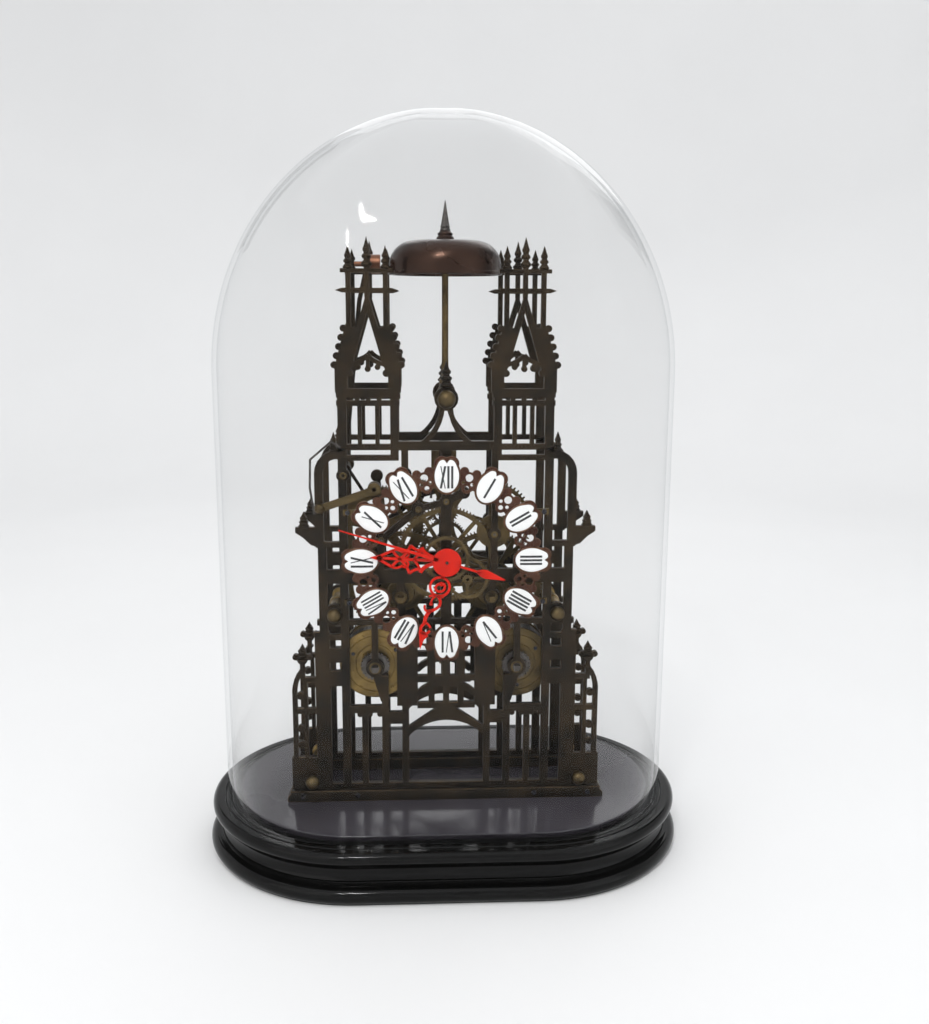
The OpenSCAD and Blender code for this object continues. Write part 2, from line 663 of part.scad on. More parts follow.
module pendulum_cock() color(brass) difference() {
    union() {
        translate([-9, back_y + plate_t, pallet[1] + 7]) cube([18, 14, 6]);
        translate([-9, back_y + plate_t, pallet[1] + 7]) cube([18, 3, 20]);
        translate([-3.2, pend_y - 2.6, pallet[1] - 3]) cube([6.4, 0.9, 11]);
        translate([-3.2, pend_y + 1.7, pallet[1] - 3]) cube([6.4, 0.9, 11]);
    }
    rod(pallet, back_y, pend_y + 6, 1 + run_fit);
    translate([-1.4, pend_y - 1.7, pallet[1] + 6]) cube([2.8, 3.4, 8]);
}

bob_z = pallet[1] - pendulum_len;
module pendulum_rod() color(steel) {
    rod(pallet, pend_y - 2.6, pend_y + 2.6, 1);
    translate([-1.6, pend_y - 1.2, pallet[1] - 5]) cube([3.2, 2.4, 6.4]);
    translate([0, pend_y, bob_z - 15]) cylinder(h = pendulum_len + 11, r = 1.1, $fn = 24);
}

module pendulum_bob() color(brass) difference() {
    turned([0, bob_z], [[2, pend_y - 5], [9, pend_y - 4], [12.4, pend_y - 1],
        [12.4, pend_y + 1], [9, pend_y + 4], [2, pend_y + 5]]);
    translate([0, pend_y, bob_z - 20]) cylinder(h = 40, r = 1.15, $fn = 24);
}

module rating_nut() color(brass) difference() {
    translate([0, pend_y, bob_z - 14.6]) cylinder(h = 1.8, r = 3.4, $fn = 32);
    translate([0, pend_y, bob_z - 20]) cylinder(h = 10, r = 1.12, $fn = 24);
}

// ---- motion work and hands ----

module minute_wheel() color(brass) difference() {
    union() {
        wheel_at(minute_post, -37.4, 1.2, 48, cannon_m, minute_phase, 4, 2, 3.6, 0.5);
        pinion_at(minute_post, -41.2, 3.9, 14, hour_m, minute_phase);
    }
    rod(minute_post, -45, -30, 1 + run_fit);
}

module hour_wheel() color(brass) difference() {
    union() {
        wheel_at(centre, -40.8, 1.2, 56, hour_m, hour_phase, 4, 2, 5.6, 3);
        rod(centre, -47.4, -39.4, 4);
    }
    rod(centre, -60, -30, pipe_r + run_fit);
}

// A hand's outline points along +Y from its centre
module hour_outline() {
    circle(7, $fn = 32);
    box2(-1.6, 1.6, 5, 17);
    difference() {
        polygon([[-2, 13], [-8.6, 22], [-5, 25], [-9.4, 31], [-4.4, 34.4], [-5.6, 38.6],
            [0, hour_len], [5.6, 38.6], [4.4, 34.4], [9.4, 31], [5, 25], [8.6, 22], [2, 13]]);
        for (p = [[-3.6, 21.4], [3.6, 21.4], [-4.4, 30.4], [4.4, 30.4]]) dot(p, 2.1);
        dot([0, 25.8], 1.8);
        dot([0, 36.6], 1.8);
    }
    dot([0, 11], 2.8);
}

module minute_outline() {
    circle(6.4, $fn = 32);
    box2(-1.5, 1.5, 5, 12);
    for (s = [-1, 1]) {
        strip(concat([[0, 12.4]], [for (a = [-90:30:60])
            [s * (4.2 + 2.8 * cos(a)), 17.5 + 4.6 * sin(a)]]), 1.9);
        strip(bezier([0, 22], [s * 5.5, 27], [s * 1.6, 34], 5), 1.9);
        strip(bezier([s * 1.2, 33], [s * 7.5, 37], [s * 4.6, 42.5], 5), 1.9);
        dot([s * 4.8, 42.6], 1.9);
        strip([for (a = [-90:30:90]) [s * 2.6 * cos(a), 47 + 3.6 * sin(a)]], 1.8);
    }
    box2(-1.2, 1.2, 11, 24);
    box2(-1.3, 1.3, 33, 45);
    polygon([[-2.6, 49.6], [-3.4, 54], [0, minute_len], [3.4, 54], [2.6, 49.6]]);
}

module seconds_outline() {
    circle(9.6, $fn = 32);
    polygon([[-1.5, 0], [-0.5, seconds_len], [0.5, seconds_len], [1.5, 0]]);
    box2(-1, 1, -30, 0);
    polygon([[-1.6, -22], [-4.4, -29.5], [-1, -28.4], [0, -41], [1, -28.4], [4.4, -29.5],
        [1.6, -22]]);
}

module hand(y, t, angle, bore) difference() {
    upright(y, t) translate(centre) rotate(-angle) offset(delta = 0.01) children();
    rod(centre, y - 1, y + t + 1, bore);
}

minute_angle = 196.7;
hour_angle = 273.3;
seconds_angle = 287.5;
module hour_hand() color(signal_red) hand(-47.4, 1, hour_angle, 4.01) hour_outline();
module minute_hand() color(signal_red) hand(-49.4, 1, minute_angle, pipe_r + 0.01)
    minute_outline();
module seconds_hand() color(signal_red) hand(-51.6, 1, seconds_angle, seconds_r + 0.01)
    seconds_outline();

// ---- striking train ----

module pin_arbor() color(steel) {
    rod(pin_pos, front_y + 0.5, back_y + plate_t - 0.5, 1);
    rod(pin_pos, front_in + gap, back_y - gap, 1.8);
    pinion_at(pin_pos, 3.1, 3.3, pinion_leaves, strike_m, pin_phase);
}

LIFT_PINS = 8;
pin_circle = 22;
module pin_wheel() color(brass) {
    wheel_at(pin_pos, 8.6, 1.4, 78, pin_m, pin_phase, 5, 7.6, 5, 1.8);
    for (i = [0:LIFT_PINS - 1]) rod(pin_pos + pin_circle * [cos(i * 45), sin(i * 45)],
        6.8, 8.9, 1, 12);
}

module locking_wheel() color(brass) {
    rod(lock_pos, front_y + 0.5, back_y + plate_t - 0.5, 0.8);
    rod(lock_pos, front_in + gap, back_y - gap, 1.3);
    pinion_at(lock_pos, 8.3, 2, 8, pin_m, lock_phase);
    wheel_at(lock_pos, -6, 1.3, 64, lock_m, lock_phase, 4, 2.2, 3.4, 1.2);
}

module fly() color(brass) {
    rod(fly_pos, front_y + 0.5, back_y + plate_t - 0.5, 0.7);
    rod(fly_pos, front_in + gap, back_y - gap, 1.1);
    pinion_at(fly_pos, -6.3, 2, 8, lock_m, fly_phase);
    translate([fly_pos[0] - 10, -24, fly_pos[1] - 0.5]) cube([20, 15, 1]);
}

// ---- hammer ----

head_pos = [-46.6, 408];
tail_tip = pin_pos + 25.2 * [cos(116), sin(116)];
module hammer_arm() color(bronze) {
    rod(hammer_pos, front_y + 0.5, back_y + plate_t - 0.5, 1.1);
    rod(hammer_pos, front_in + gap, back_y - gap, 2);
    rod(hammer_pos, mid_y - 3, mid_y + 3, 4);
    upright(mid_y - 0.9, 1.8) strip([hammer_pos, [-66, 300], [-57.4, 384], [-52, 407]], 3);
    upright(6.6, 1.6) bar(hammer_pos, tail_tip, 2.2);
}

module hammer_head() color([0.5, 0.3, 0.16]) {
    translate([-49.6, mid_y, head_pos[1]]) rotate([0, 90, 0]) cylinder(h = 6.4, r = 6.2, $fn = 40);
    translate([-60.5, mid_y, head_pos[1]]) rotate([0, 90, 0])
        difference() {
            cylinder(h = 11, r = 1.7, $fn = 24);
            translate([-3, -1.1, 5.6]) cube([6, 2.2, 5.6]);
        }
}

// ---- repeating lever ----

ball_pos = [-84.2, 248.6];
module repeat_lever() color(brass) {
    difference() {
        upright(-40, 1.8) {
            bar(ball_pos, [-50, 260.4], 5);
            translate(lever_pos) circle(4.6, $fn = 12);
        }
        rod(lever_pos, -41, -30, 1.5 + run_fit);
    }
    turned(ball_pos, [for (a = [-80:20:80]) [3.6 * cos(a), -39.1 + 3.6 * sin(a)]]);
}

module lever_spring() color(steel) upright(front_y - 1.2, 1.2)
    strip([[-70, 289], [-76, 293], [-90, 281], [-90.6, 262], [-88, 244]], 1.4);

base_foot();
base_moulding();
platform();
glass_dome();
front_plate();
back_plate();
front_sill();
back_sill();
plate_pillars();
top_pillar();
ball_nuts();
rear_nuts();
front_bushes();
back_bushes();
bell_post();
bell();
bell_collar();
bell_spire();
dial_ring();
dial_feet();
dial_cartouches();
dial_numerals();
going_barrel();
strike_barrel();
going_barrel_arbor();
strike_barrel_arbor();
going_fusee();
going_great_wheel();
strike_fusee();
strike_great_wheel();
fusee_chains();
escape_cock();
centre_arbor();
centre_wheel();
cannon_pinion();
minute_hand();
third_arbor();
third_wheel();
seconds_arbor();
seconds_wheel();
seconds_hand();
escape_arbor();
escape_wheel();
pallets();
crutch();
pendulum_cock();
pendulum_rod();
pendulum_bob();
rating_nut();
minute_wheel();
hour_wheel();
hour_hand();
pin_arbor();
pin_wheel();
locking_wheel();
fly();
hammer_arm();
hammer_head();
repeat_lever();
lever_spring();
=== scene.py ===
import json
import math

import bmesh
import bpy
from mathutils import Matrix, Quaternion, Vector

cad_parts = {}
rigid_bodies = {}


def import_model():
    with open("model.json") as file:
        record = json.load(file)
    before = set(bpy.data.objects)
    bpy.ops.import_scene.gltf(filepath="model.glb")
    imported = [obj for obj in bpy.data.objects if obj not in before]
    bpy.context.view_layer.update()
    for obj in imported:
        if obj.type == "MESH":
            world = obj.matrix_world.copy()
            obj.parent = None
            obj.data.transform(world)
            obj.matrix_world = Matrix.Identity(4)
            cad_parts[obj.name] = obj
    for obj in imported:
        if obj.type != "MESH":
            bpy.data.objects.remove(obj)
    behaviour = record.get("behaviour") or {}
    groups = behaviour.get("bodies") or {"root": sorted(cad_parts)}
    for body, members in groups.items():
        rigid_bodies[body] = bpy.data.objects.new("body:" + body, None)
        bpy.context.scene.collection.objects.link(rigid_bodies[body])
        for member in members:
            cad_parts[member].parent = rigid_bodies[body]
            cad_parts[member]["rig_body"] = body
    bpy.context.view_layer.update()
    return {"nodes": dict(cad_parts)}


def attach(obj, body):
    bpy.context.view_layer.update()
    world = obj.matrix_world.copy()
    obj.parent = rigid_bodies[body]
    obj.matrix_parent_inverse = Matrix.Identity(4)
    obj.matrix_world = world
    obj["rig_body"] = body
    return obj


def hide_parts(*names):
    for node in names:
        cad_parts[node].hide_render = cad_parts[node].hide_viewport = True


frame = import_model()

# ---- Camera ----
# It stands in front of the clock, a little left of its centre line, and looks
# slightly down on the base from about the height of the bell.
camera_data = bpy.data.cameras.new("camera")
camera = bpy.data.objects.new("camera", camera_data)
bpy.context.scene.collection.objects.link(camera)
heading, dip, lean = math.radians(2.856), math.radians(11.174), math.radians(0.237)
ahead = Vector((math.sin(heading) * math.cos(dip), math.cos(heading) * math.cos(dip),
                -math.sin(dip)))
sideways = Vector((math.cos(heading), -math.sin(heading), 0))
upward = sideways.cross(ahead)
right_axis = sideways * math.cos(lean) + upward * math.sin(lean)
up_axis = upward * math.cos(lean) - sideways * math.sin(lean)
stand = Matrix((right_axis, up_axis, -ahead)).transposed().to_4x4()
stand.translation = Vector((-0.0226, -0.7328, 0.3832))
camera.matrix_world = stand
camera_data.sensor_fit = "VERTICAL"
camera_data.sensor_height = 36
camera_data.lens = 37.3
camera_data.clip_start = 0.01
bpy.context.scene.camera = camera
bpy.context.scene.view_settings.view_transform = "Standard"

# ---- Studio ----
# A pale floor that curves up into a pale wall all round, lit by wide soft boxes
# and two strip lights for the glints. Two black cards darken the glass's shoulders.


def feed(tree, source, socket):
    """Gives a node's socket an output of another node, or a plain value."""
    if isinstance(source, bpy.types.NodeSocket):
        tree.links.new(source, socket)
    else:
        socket.default_value = source


def add(tree, kind, settings=None, **wires):
    """Adds a node; each wire is an input's name with an output or a value."""
    node = tree.nodes.new(kind)
    for key, value in (settings or {}).items():
        setattr(node, key, value)
    for title, source in wires.items():
        feed(tree, source, node.inputs[title.replace("_", " ")])
    return node


def maths(tree, operation, first, second):
    node = add(tree, "ShaderNodeMath", {"operation": operation})
    feed(tree, first, node.inputs[0])
    feed(tree, second, node.inputs[1])
    return node.outputs[0]


class Finish:
    """A material in the making: noise, ramps and bumps are added to its shader one by one."""

    def __init__(self, name, **sockets):
        self.material = bpy.data.materials.new(name)
        self.material.use_nodes = True
        self.tree = self.material.node_tree
        self.shader = self.tree.nodes["Principled BSDF"]
        self.place = add(self.tree, "ShaderNodeTexCoord").outputs["Object"]
        for socket, value in sockets.items():
            self.drive(socket, value)

    def stretched(self, x, y, z):
        mapping = add(self.tree, "ShaderNodeMapping", Vector=self.place, Scale=(x, y, z))
        return mapping.outputs["Vector"]

    def noise(self, scale, detail=4.0, roughness=0.55, place=None):
        return add(self.tree, "ShaderNodeTexNoise", Vector=place or self.place, Scale=scale,
                   Detail=detail, Roughness=roughness).outputs["Fac"]

    def specks(self, scale, size):
        """Small round specks: 1 in a speck, 0 outside."""
        cells = add(self.tree, "ShaderNodeTexVoronoi", Vector=self.place, Scale=scale)
        return self.span(cells.outputs["Distance"], size, size * 0.5)

    def span(self, value, low, high, to_low=0.0, to_high=1.0):
        return add(self.tree, "ShaderNodeMapRange", Value=value, From_Min=low, From_Max=high,
                   To_Min=to_low, To_Max=to_high).outputs["Result"]

    def blend(self, factor, first, second):
        """A colour between two, each a colour or an output."""
        node = add(self.tree, "ShaderNodeMix", {"data_type": "RGBA"}, Factor=factor)
        for socket, colour in ((node.inputs[6], first), (node.inputs[7], second)):
            feed(self.tree, (*colour, 1) if isinstance(colour, tuple) else colour, socket)
        return node.outputs[2]

    def patina(self, scale, detail, roughness, low, high, first, second):
        """Drifts in cloudy patches from the first colour to the second."""
        self.drive("Base_Color", self.blend(
            self.span(self.noise(scale, detail, roughness), low, high), first, second))

    def polish(self, scale, detail, roughness, smoothest, roughest, low=0.3, high=0.75):
        """Drifts in patches between the smoothest and the roughest polish."""
        self.drive("Roughness", self.span(self.noise(scale, detail, roughness),
                                          low, high, smoothest, roughest))

    def facing_up(self):
        """1 where the surface looks upwards, 0 where it is upright or looks down."""
        normal = add(self.tree, "ShaderNodeNewGeometry").outputs["Normal"]
        split = add(self.tree, "ShaderNodeSeparateXYZ", Vector=normal)
        return self.span(split.outputs["Z"], 0.3, 0.9)

    def drive(self, socket, source):
        feed(self.tree, source, self.shader.inputs[socket.replace("_", " ")])

    def bump(self, height, strength, depth=0.0002):
        node = add(self.tree, "ShaderNodeBump", Strength=strength, Distance=depth, Height=height)
        previous = self.shader.inputs["Normal"].links
        if previous:
            feed(self.tree, previous[0].from_socket, node.inputs["Normal"])
        self.drive("Normal", node.outputs["Normal"])


def piece_from(name, points, faces, finish):
    """A mesh piece, given in millimetres, with smooth shading broken at its sharp edges."""
    mesh = bpy.data.meshes.new(name)
    mesh.from_pydata([tuple(c * 0.001 for c in p) for p in points], [], faces)
    mesh.polygons.foreach_set("use_smooth", [True] * len(mesh.polygons))
    mesh.set_sharp_from_angle(angle=math.radians(32))
    mesh.materials.append(finish.material)
    piece = bpy.data.objects.new(name, mesh)
    bpy.context.scene.collection.objects.link(piece)
    return piece


paper = Finish("studio_paper", Roughness=0.85)
paper.drive("Base_Color", paper.blend(paper.noise(3, 2), (0.80, 0.80, 0.80), (0.84, 0.84, 0.84)))
STUDIO_FLOOR, STUDIO_CURVE, STUDIO_WALL, STUDIO_SIDES = 1500, 900, 4200, 96
bowl_section = [(0.02, 0), (STUDIO_FLOOR, 0)]
bowl_section += [(STUDIO_FLOOR + STUDIO_CURVE * math.sin(a), STUDIO_CURVE * (1 - math.cos(a)))
                 for a in (math.radians(7.5 * k) for k in range(1, 13))]
bowl_section.append((STUDIO_FLOOR + STUDIO_CURVE, STUDIO_WALL))
bowl_points, bowl_faces = [], []
for step in range(STUDIO_SIDES):
    angle = 2 * math.pi * step / STUDIO_SIDES
    bowl_points += [(r * math.cos(angle), r * math.sin(angle), z) for r, z in bowl_section]
rows = len(bowl_section)
for step in range(STUDIO_SIDES):
    a, b = step * rows, (step + 1) % STUDIO_SIDES * rows
    bowl_faces += [(a + k, a + k + 1, b + k + 1, b + k) for k in range(rows - 1)]
bowl_faces.append(tuple(step * rows for step in range(STUDIO_SIDES)))
studio = piece_from("studio_floor", bowl_points, bowl_faces, paper)

world = bpy.data.worlds.new("studio_air")
bpy.context.scene.world = world
world.use_nodes = True
air = world.node_tree.nodes["Background"].inputs
air["Color"].default_value, air["Strength"].default_value = (0.93, 0.96, 1.0, 1), 0.62


def faced(place, target, roll):
    """The turn of a lamp or card at a place that faces the target, rolled about its own axis."""
    aim = (Vector(target) - Vector(place)).to_track_quat("-Z", "Y")
    return aim @ Quaternion((0, 0, 1), math.radians(roll))


def soft_box(name, place, target, width, height, power, colour=(1, 1, 1), roll=0):
    lamp = bpy.data.lights.new(name, "AREA")
    lamp.shape, lamp.size, lamp.size_y = "RECTANGLE", width, height
    lamp.energy, lamp.color = power, colour
    holder = bpy.data.objects.new(name, lamp)
    holder.location = place
    holder.rotation_euler = faced(place, target, roll).to_euler()
    bpy.context.scene.collection.objects.link(holder)


soft_box("overhead", (0.1, -0.3, 2.1), (0, 0, 0.2), 3.4, 3.4, 22)
soft_box("left_front", (-1.5, -1.5, 1.1), (0, 0, 0.25), 1.9, 1.9, 8, (1, 0.98, 0.95))
soft_box("right_front", (1.7, -1.3, 0.9), (0, 0, 0.2), 1.6, 1.6, 5, (0.95, 0.98, 1))
soft_box("behind", (0.3, 1.6, 1.5), (0, 0, 0.25), 1.6, 1.0, 5)
SHOULDER = (0, -0.04, 0.44)
soft_box("glint", (-0.26, -1.29, 1.88), SHOULDER, 0.34, 0.06, 9, roll=-52)
soft_box("glint_low", (-0.485, -1.474, 1.646), SHOULDER, 0.26, 0.05, 5, roll=-56)

CARD_HALF_LENGTH = 0.38
card_black = Finish("studio_black", Roughness=0.9)
card_black.drive("Base_Color", card_black.blend(
    card_black.noise(5, 2), (0.012, 0.014, 0.016), (0.02, 0.022, 0.024)))
for name, place, width, roll in (("left_card", (-0.84, 1.34, 1.14), 0.26, -55),
                                 ("right_card", (1.18, 0.90, 1.14), 0.38, -45)):
    turn = faced(place, SHOULDER, roll)
    corners = [Vector(place) + turn @ Vector((CARD_HALF_LENGTH * i, 0.5 * width * j, 0))
               for i, j in ((-1, -1), (1, -1), (1, 1), (-1, 1))]
    card = piece_from(name, [tuple(corner * 1000) for corner in corners], [(3, 2, 1, 0)],
                      card_black)
    card.visible_camera = card.visible_shadow = False

# ---- Base ----
# An oval plinth of turned and moulded wood, stained black and french polished,
# with a bull-nosed foot, a hollow above it and a bead under the glass.
lacquer = Finish("black_lacquer", Specular_IOR_Level=0.17)
grain = lacquer.noise(70, 5, 0.6, lacquer.stretched(0.25, 1, 1))
# Specks of dust on the upward faces.
upward_patches = maths(lacquer.tree, "MULTIPLY", lacquer.facing_up(), lacquer.specks(900, 0.16))
stain = lacquer.blend(grain, (0.0022, 0.0024, 0.0024), (0.005, 0.0048, 0.0046))
lacquer.drive("Base_Color", lacquer.blend(upward_patches, stain, (0.028, 0.027, 0.026)))
lacquer.polish(22, 4, 0.6, 0.07, 0.15)
lacquer.bump(lacquer.noise(160, 3), 0.03)

OVAL_HALF = 60.5
LEDGE = 35.5


def band(low, high, count):
    """Faces from one ring of points to the next, each ring named by its first point."""
    return [(low + i, low + (i + 1) % count, high + (i + 1) % count, high + i)
            for i in range(count)]


def oval_path(radius, steps):
    """Points round an oval: two half circles of that radius, joined by straight runs."""
    points = []
    for side in (1, -1):
        for k in range(steps + 1):
            a = -math.pi / 2 + math.pi * k / steps
            points.append((side * (OVAL_HALF + radius * math.cos(a)), side * radius * math.sin(a)))
        points += [(side * OVAL_HALF * (1 - 2 * k / 8), side * radius) for k in range(1, 8)]
    return points


def oval_solid(name, section, finish, steps=56):
    """A closed solid whose section, from bottom to top, is carried round the oval."""
    rings = [oval_path(r, steps) for r, _ in section]
    count = len(rings[0])
    points = [(x, y, z) for ring, (_, z) in zip(rings, section) for x, y in ring]
    top = (len(section) - 1) * count
    faces = [face for a in range(0, top, count) for face in band(a, a + count, count)]
    faces.append(tuple(reversed(range(count))))
    faces.append(tuple(range(top, top + count)))
    return piece_from(name, points, faces, finish)


def curve_of(cx, cz, radius, start, end, steps=16):
    """Points on an arc, from one angle to another."""
    return [(cx + radius * math.cos(math.radians(start + (end - start) * k / steps)),
             cz + radius * math.sin(math.radians(start + (end - start) * k / steps)))
            for k in range(steps + 1)]


foot_section = [(105.9, 0.3), (106.4, 0.3)] + curve_of(104, 6, 5.48, -58, 90, 18)
foot_section += [(102.1, 11.5), (101.6, 11.8), (101.5, 12.4), (101.5, 14)]
foot = oval_solid("base_foot_turned", foot_section, lacquer)
moulding_section = [(100.5, 14)] + curve_of(108.5, 20, 9, 216, 140)
moulding_section += [(101.9, 26.3), (104.6, 26.6)] + curve_of(103, 31, 4.5, -62, 90)
moulding_section += [(102.6, LEDGE), (99.3, LEDGE), (98.9, 35.2), (98.5, 34.9), (98.1, 35.2),
                     (97.7, LEDGE)]
moulding = oval_solid("base_moulding_turned", moulding_section, lacquer)
for piece, node in ((foot, "base_foot"), (moulding, "base_moulding")):
    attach(piece, "frame")
    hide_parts(node)

# ---- Baize ----
# Green woollen baize glued under the foot, so that the plinth doesn't mark
# the shelf. It is cut a little smaller than the foot.
baize = Finish("green_baize", Roughness=0.95, Sheen_Weight=0.5, Sheen_Roughness=0.6)
baize.drive("Base_Color", baize.blend(
    baize.noise(900, 3), (0.010, 0.055, 0.022), (0.03, 0.11, 0.05)))
baize.bump(baize.noise(1600, 2), 0.5)
felt = oval_solid("base_baize", [(101, 0.0), (101.4, 0.1), (101.2, 0.32)], baize, 40)
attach(felt, "frame")

# ---- Platform ----
# A thin black board that the clock stands on, with a softened edge. Its polish has a little haze.
# Its top is painted a lighter grey-violet in patches, partly dust and partly painted sheen of the
# pale surroundings.
haze = Finish("hazed_polish_painted_sheen", Specular_IOR_Level=0.42)
# Upward faces painted lighter grey-violet in patches: partly dust, partly painted sheen that stands
# in for the reflection of the pale surroundings.
upward_patches = maths(haze.tree, "MULTIPLY", haze.facing_up(),
             haze.span(haze.noise(11, 4, 0.5), 0.35, 0.75, 0.35, 0.85))
haze.drive("Base_Color", haze.blend(upward_patches, (0.016, 0.014, 0.018), (0.066, 0.060, 0.072)))
haze.polish(9, 3, 0.5, 0.12, 0.20)
haze.bump(haze.noise(1400, 2), 0.02)
board = oval_solid("platform_board", [(87.7, LEDGE), (88.1, 35.6), (88.1, 37.9)]
                   + curve_of(87.1, 38, 1, 0, 90, 6), haze)
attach(board, "frame")
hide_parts("platform")

# ---- Glass dome ----
# One blown oval shade with upright walls and a round crown, ground flat at its
# rim. It lifts straight up off the ledge of the base.
shade_glass = bpy.data.materials.new("shade_glass")
shade_glass.use_nodes = True
glass_tree = shade_glass.node_tree
for node in list(glass_tree.nodes):
    glass_tree.nodes.remove(node)
glass_out = add(glass_tree, "ShaderNodeOutputMaterial")
clear = add(glass_tree, "ShaderNodeBsdfTransparent", Color=(0.975, 0.976, 0.976, 1))
painted_edge_shade = add(glass_tree, "ShaderNodeBsdfTransparent", Color=(0.40, 0.45, 0.48, 1))
polish = add(glass_tree, "ShaderNodeBsdfGlossy", Color=(1, 1, 1, 1), Roughness=0.03)
grazing = add(glass_tree, "ShaderNodeLayerWeight", Blend=0.5)


def glass_share(power, most):
    """A share that grows towards the shade's outline: the higher the power, the nearer to it."""
    rim = maths(glass_tree, "POWER", grazing.outputs["Facing"], power)
    return maths(glass_tree, "MULTIPLY", rim, most)


def glass_mix(share, first, second):
    mixed = add(glass_tree, "ShaderNodeMixShader")
    for socket, source in zip(mixed.inputs, (share, first.outputs[0], second.outputs[0])):
        feed(glass_tree, source, socket)
    return mixed


# Towards its outline the glass is painted a darker grey-blue: painted shade that stands in for the
# dark refraction of the wall seen edge-on. The glossy part is a real reflection.
edge_shaded = glass_mix(glass_share(9, 0.34), clear, painted_edge_shade)
shine = maths(glass_tree, "ADD", glass_share(4, 0.60), 0.005)
glass_tree.links.new(glass_mix(shine, edge_shaded, polish).outputs[0], glass_out.inputs["Surface"])

SHADE_AROUND, SHADE_LEVELS, SHADE_RISE = 160, 11, 44
SHADE_RADIUS, GLASS, SPRING_LINE, CROWN = 96.4, 3.2, 335.5, 172


def shade_ring(inset, height, shrink):
    """One level of the shade: its oval, drawn in towards the middle by shrink."""
    ring = []
    for k in range(SHADE_AROUND):
        a = (k + 0.5) * 2 * math.pi / SHADE_AROUND
        reach = SHADE_RADIUS - inset
        core = math.copysign(OVAL_HALF, math.cos(a))
        ring.append((shrink * (core + reach * math.cos(a)), shrink * reach * math.sin(a), height))
    return ring


def fan(ring, tip, count):
    """Faces from a ring of points to a single point over its middle."""
    return [(ring + i, ring + (i + 1) % count, tip) for i in range(count)]


def shade_wall(inset, crown):
    foot = LEDGE + 0.8
    rise = (SPRING_LINE - foot) / (SHADE_LEVELS - 1)
    levels = [shade_ring(inset, foot + k * rise, 1) for k in range(SHADE_LEVELS)]
    for k in range(1, SHADE_RISE):
        a = math.pi / 2 * k / SHADE_RISE
        levels.append(shade_ring(inset, SPRING_LINE + crown * math.sin(a), math.cos(a)))
    return levels


outer_wall, inner_wall = shade_wall(0, CROWN), shade_wall(GLASS, CROWN - GLASS)
rim = [shade_ring(inset, LEDGE + 0.8 * (1 - math.sin(math.radians(a))), 1)
       for inset, a in ((2.9, 45), (2.2, 90), (1.0, 90), (0.3, 45))]
levels = list(reversed(inner_wall)) + rim + outer_wall
shade_top = SPRING_LINE + CROWN
points = [(0, 0, shade_top - GLASS)] + [p for level in levels for p in level] + [(0, 0, shade_top)]
last = 1 + (len(levels) - 1) * SHADE_AROUND
faces = [face[::-1] for face in fan(1, 0, SHADE_AROUND)]
for a in range(1, last, SHADE_AROUND):
    faces += band(a, a + SHADE_AROUND, SHADE_AROUND)
faces += fan(last, len(points) - 1, SHADE_AROUND)
shade = piece_from("glass_shade", points, faces, paper)
shade.data.materials[0] = shade_glass
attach(shade, "glass_dome")
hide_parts("glass_dome")

# ---- Frame plates ----
# Two plates sawn and filed from sheet brass in the outline of a cathedral
# front, their edges broken with a file. They have gone a deep brown.
bronze = Finish("brown_bronze", Metallic=0.82)
tarnish = bronze.noise(34, 6, 0.65)
bronze.drive("Base_Color", bronze.blend(
    bronze.span(tarnish, 0.38, 0.68), (0.013, 0.010, 0.007),
    bronze.blend(bronze.noise(160, 4), (0.029, 0.020, 0.012), (0.058, 0.038, 0.019))))
bronze.polish(90, 5, 0.7, 0.36, 0.60)
bronze.bump(bronze.noise(420, 3), 0.22)
bronze.bump(bronze.noise(90, 2, 0.5, bronze.stretched(12, 1, 1)), 0.10)
rubbed = Finish("rubbed_edge", Metallic=0.9)
rubbed.patina(120, 5, 0.55, 0.35, 0.65, (0.030, 0.021, 0.013), (0.105, 0.070, 0.036))
rubbed.polish(200, 4, 0.55, 0.28, 0.50, high=0.7)


def settle(piece, modifier):
    """Makes the piece a plain mesh, in the shape that its modifier gives it."""
    bpy.context.view_layer.update()
    shaped = piece.evaluated_get(bpy.context.evaluated_depsgraph_get())
    plain = bpy.data.meshes.new_from_object(shaped)
    piece.modifiers.remove(modifier)
    piece.data = plain
    return plain


def filed_copy(node, name, finish, edge, width, segments=2):
    """The part's own shape with its arrises filed off, standing in for it."""
    work = bmesh.new()
    work.from_mesh(frame["nodes"][node].data)
    bmesh.ops.remove_doubles(work, verts=work.verts, dist=2e-6)
    mesh = bpy.data.meshes.new(name)
    work.to_mesh(mesh)
    work.free()
    mesh.materials.clear()
    mesh.materials.append(finish.material)
    mesh.materials.append(edge.material)
    mesh.polygons.foreach_set("material_index", [0] * len(mesh.polygons))
    mesh.polygons.foreach_set("use_smooth", [True] * len(mesh.polygons))
    piece = bpy.data.objects.new(name, mesh)
    bpy.context.scene.collection.objects.link(piece)
    bevel = piece.modifiers.new("filed edges", "BEVEL")
    bevel.width, bevel.segments = width * 0.001, segments
    bevel.limit_method, bevel.angle_limit = "ANGLE", math.radians(28)
    bevel.use_clamp_overlap = False
    bevel.material = 1
    filed = settle(piece, bevel)
    filed.polygons.foreach_set("use_smooth", [True] * len(filed.polygons))
    filed.set_sharp_from_angle(angle=math.radians(24))
    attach(piece, frame["nodes"][node]["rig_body"])
    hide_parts(node)


filed_copy("front_plate", "front_plate_filed", bronze, rubbed, 0.22, 1)
filed_copy("back_plate", "back_plate_filed", bronze, rubbed, 0.22, 1)
filed_copy("front_sill", "front_sill_filed", bronze, rubbed, 0.5)
filed_copy("back_sill", "back_sill_filed", bronze, rubbed, 0.5)

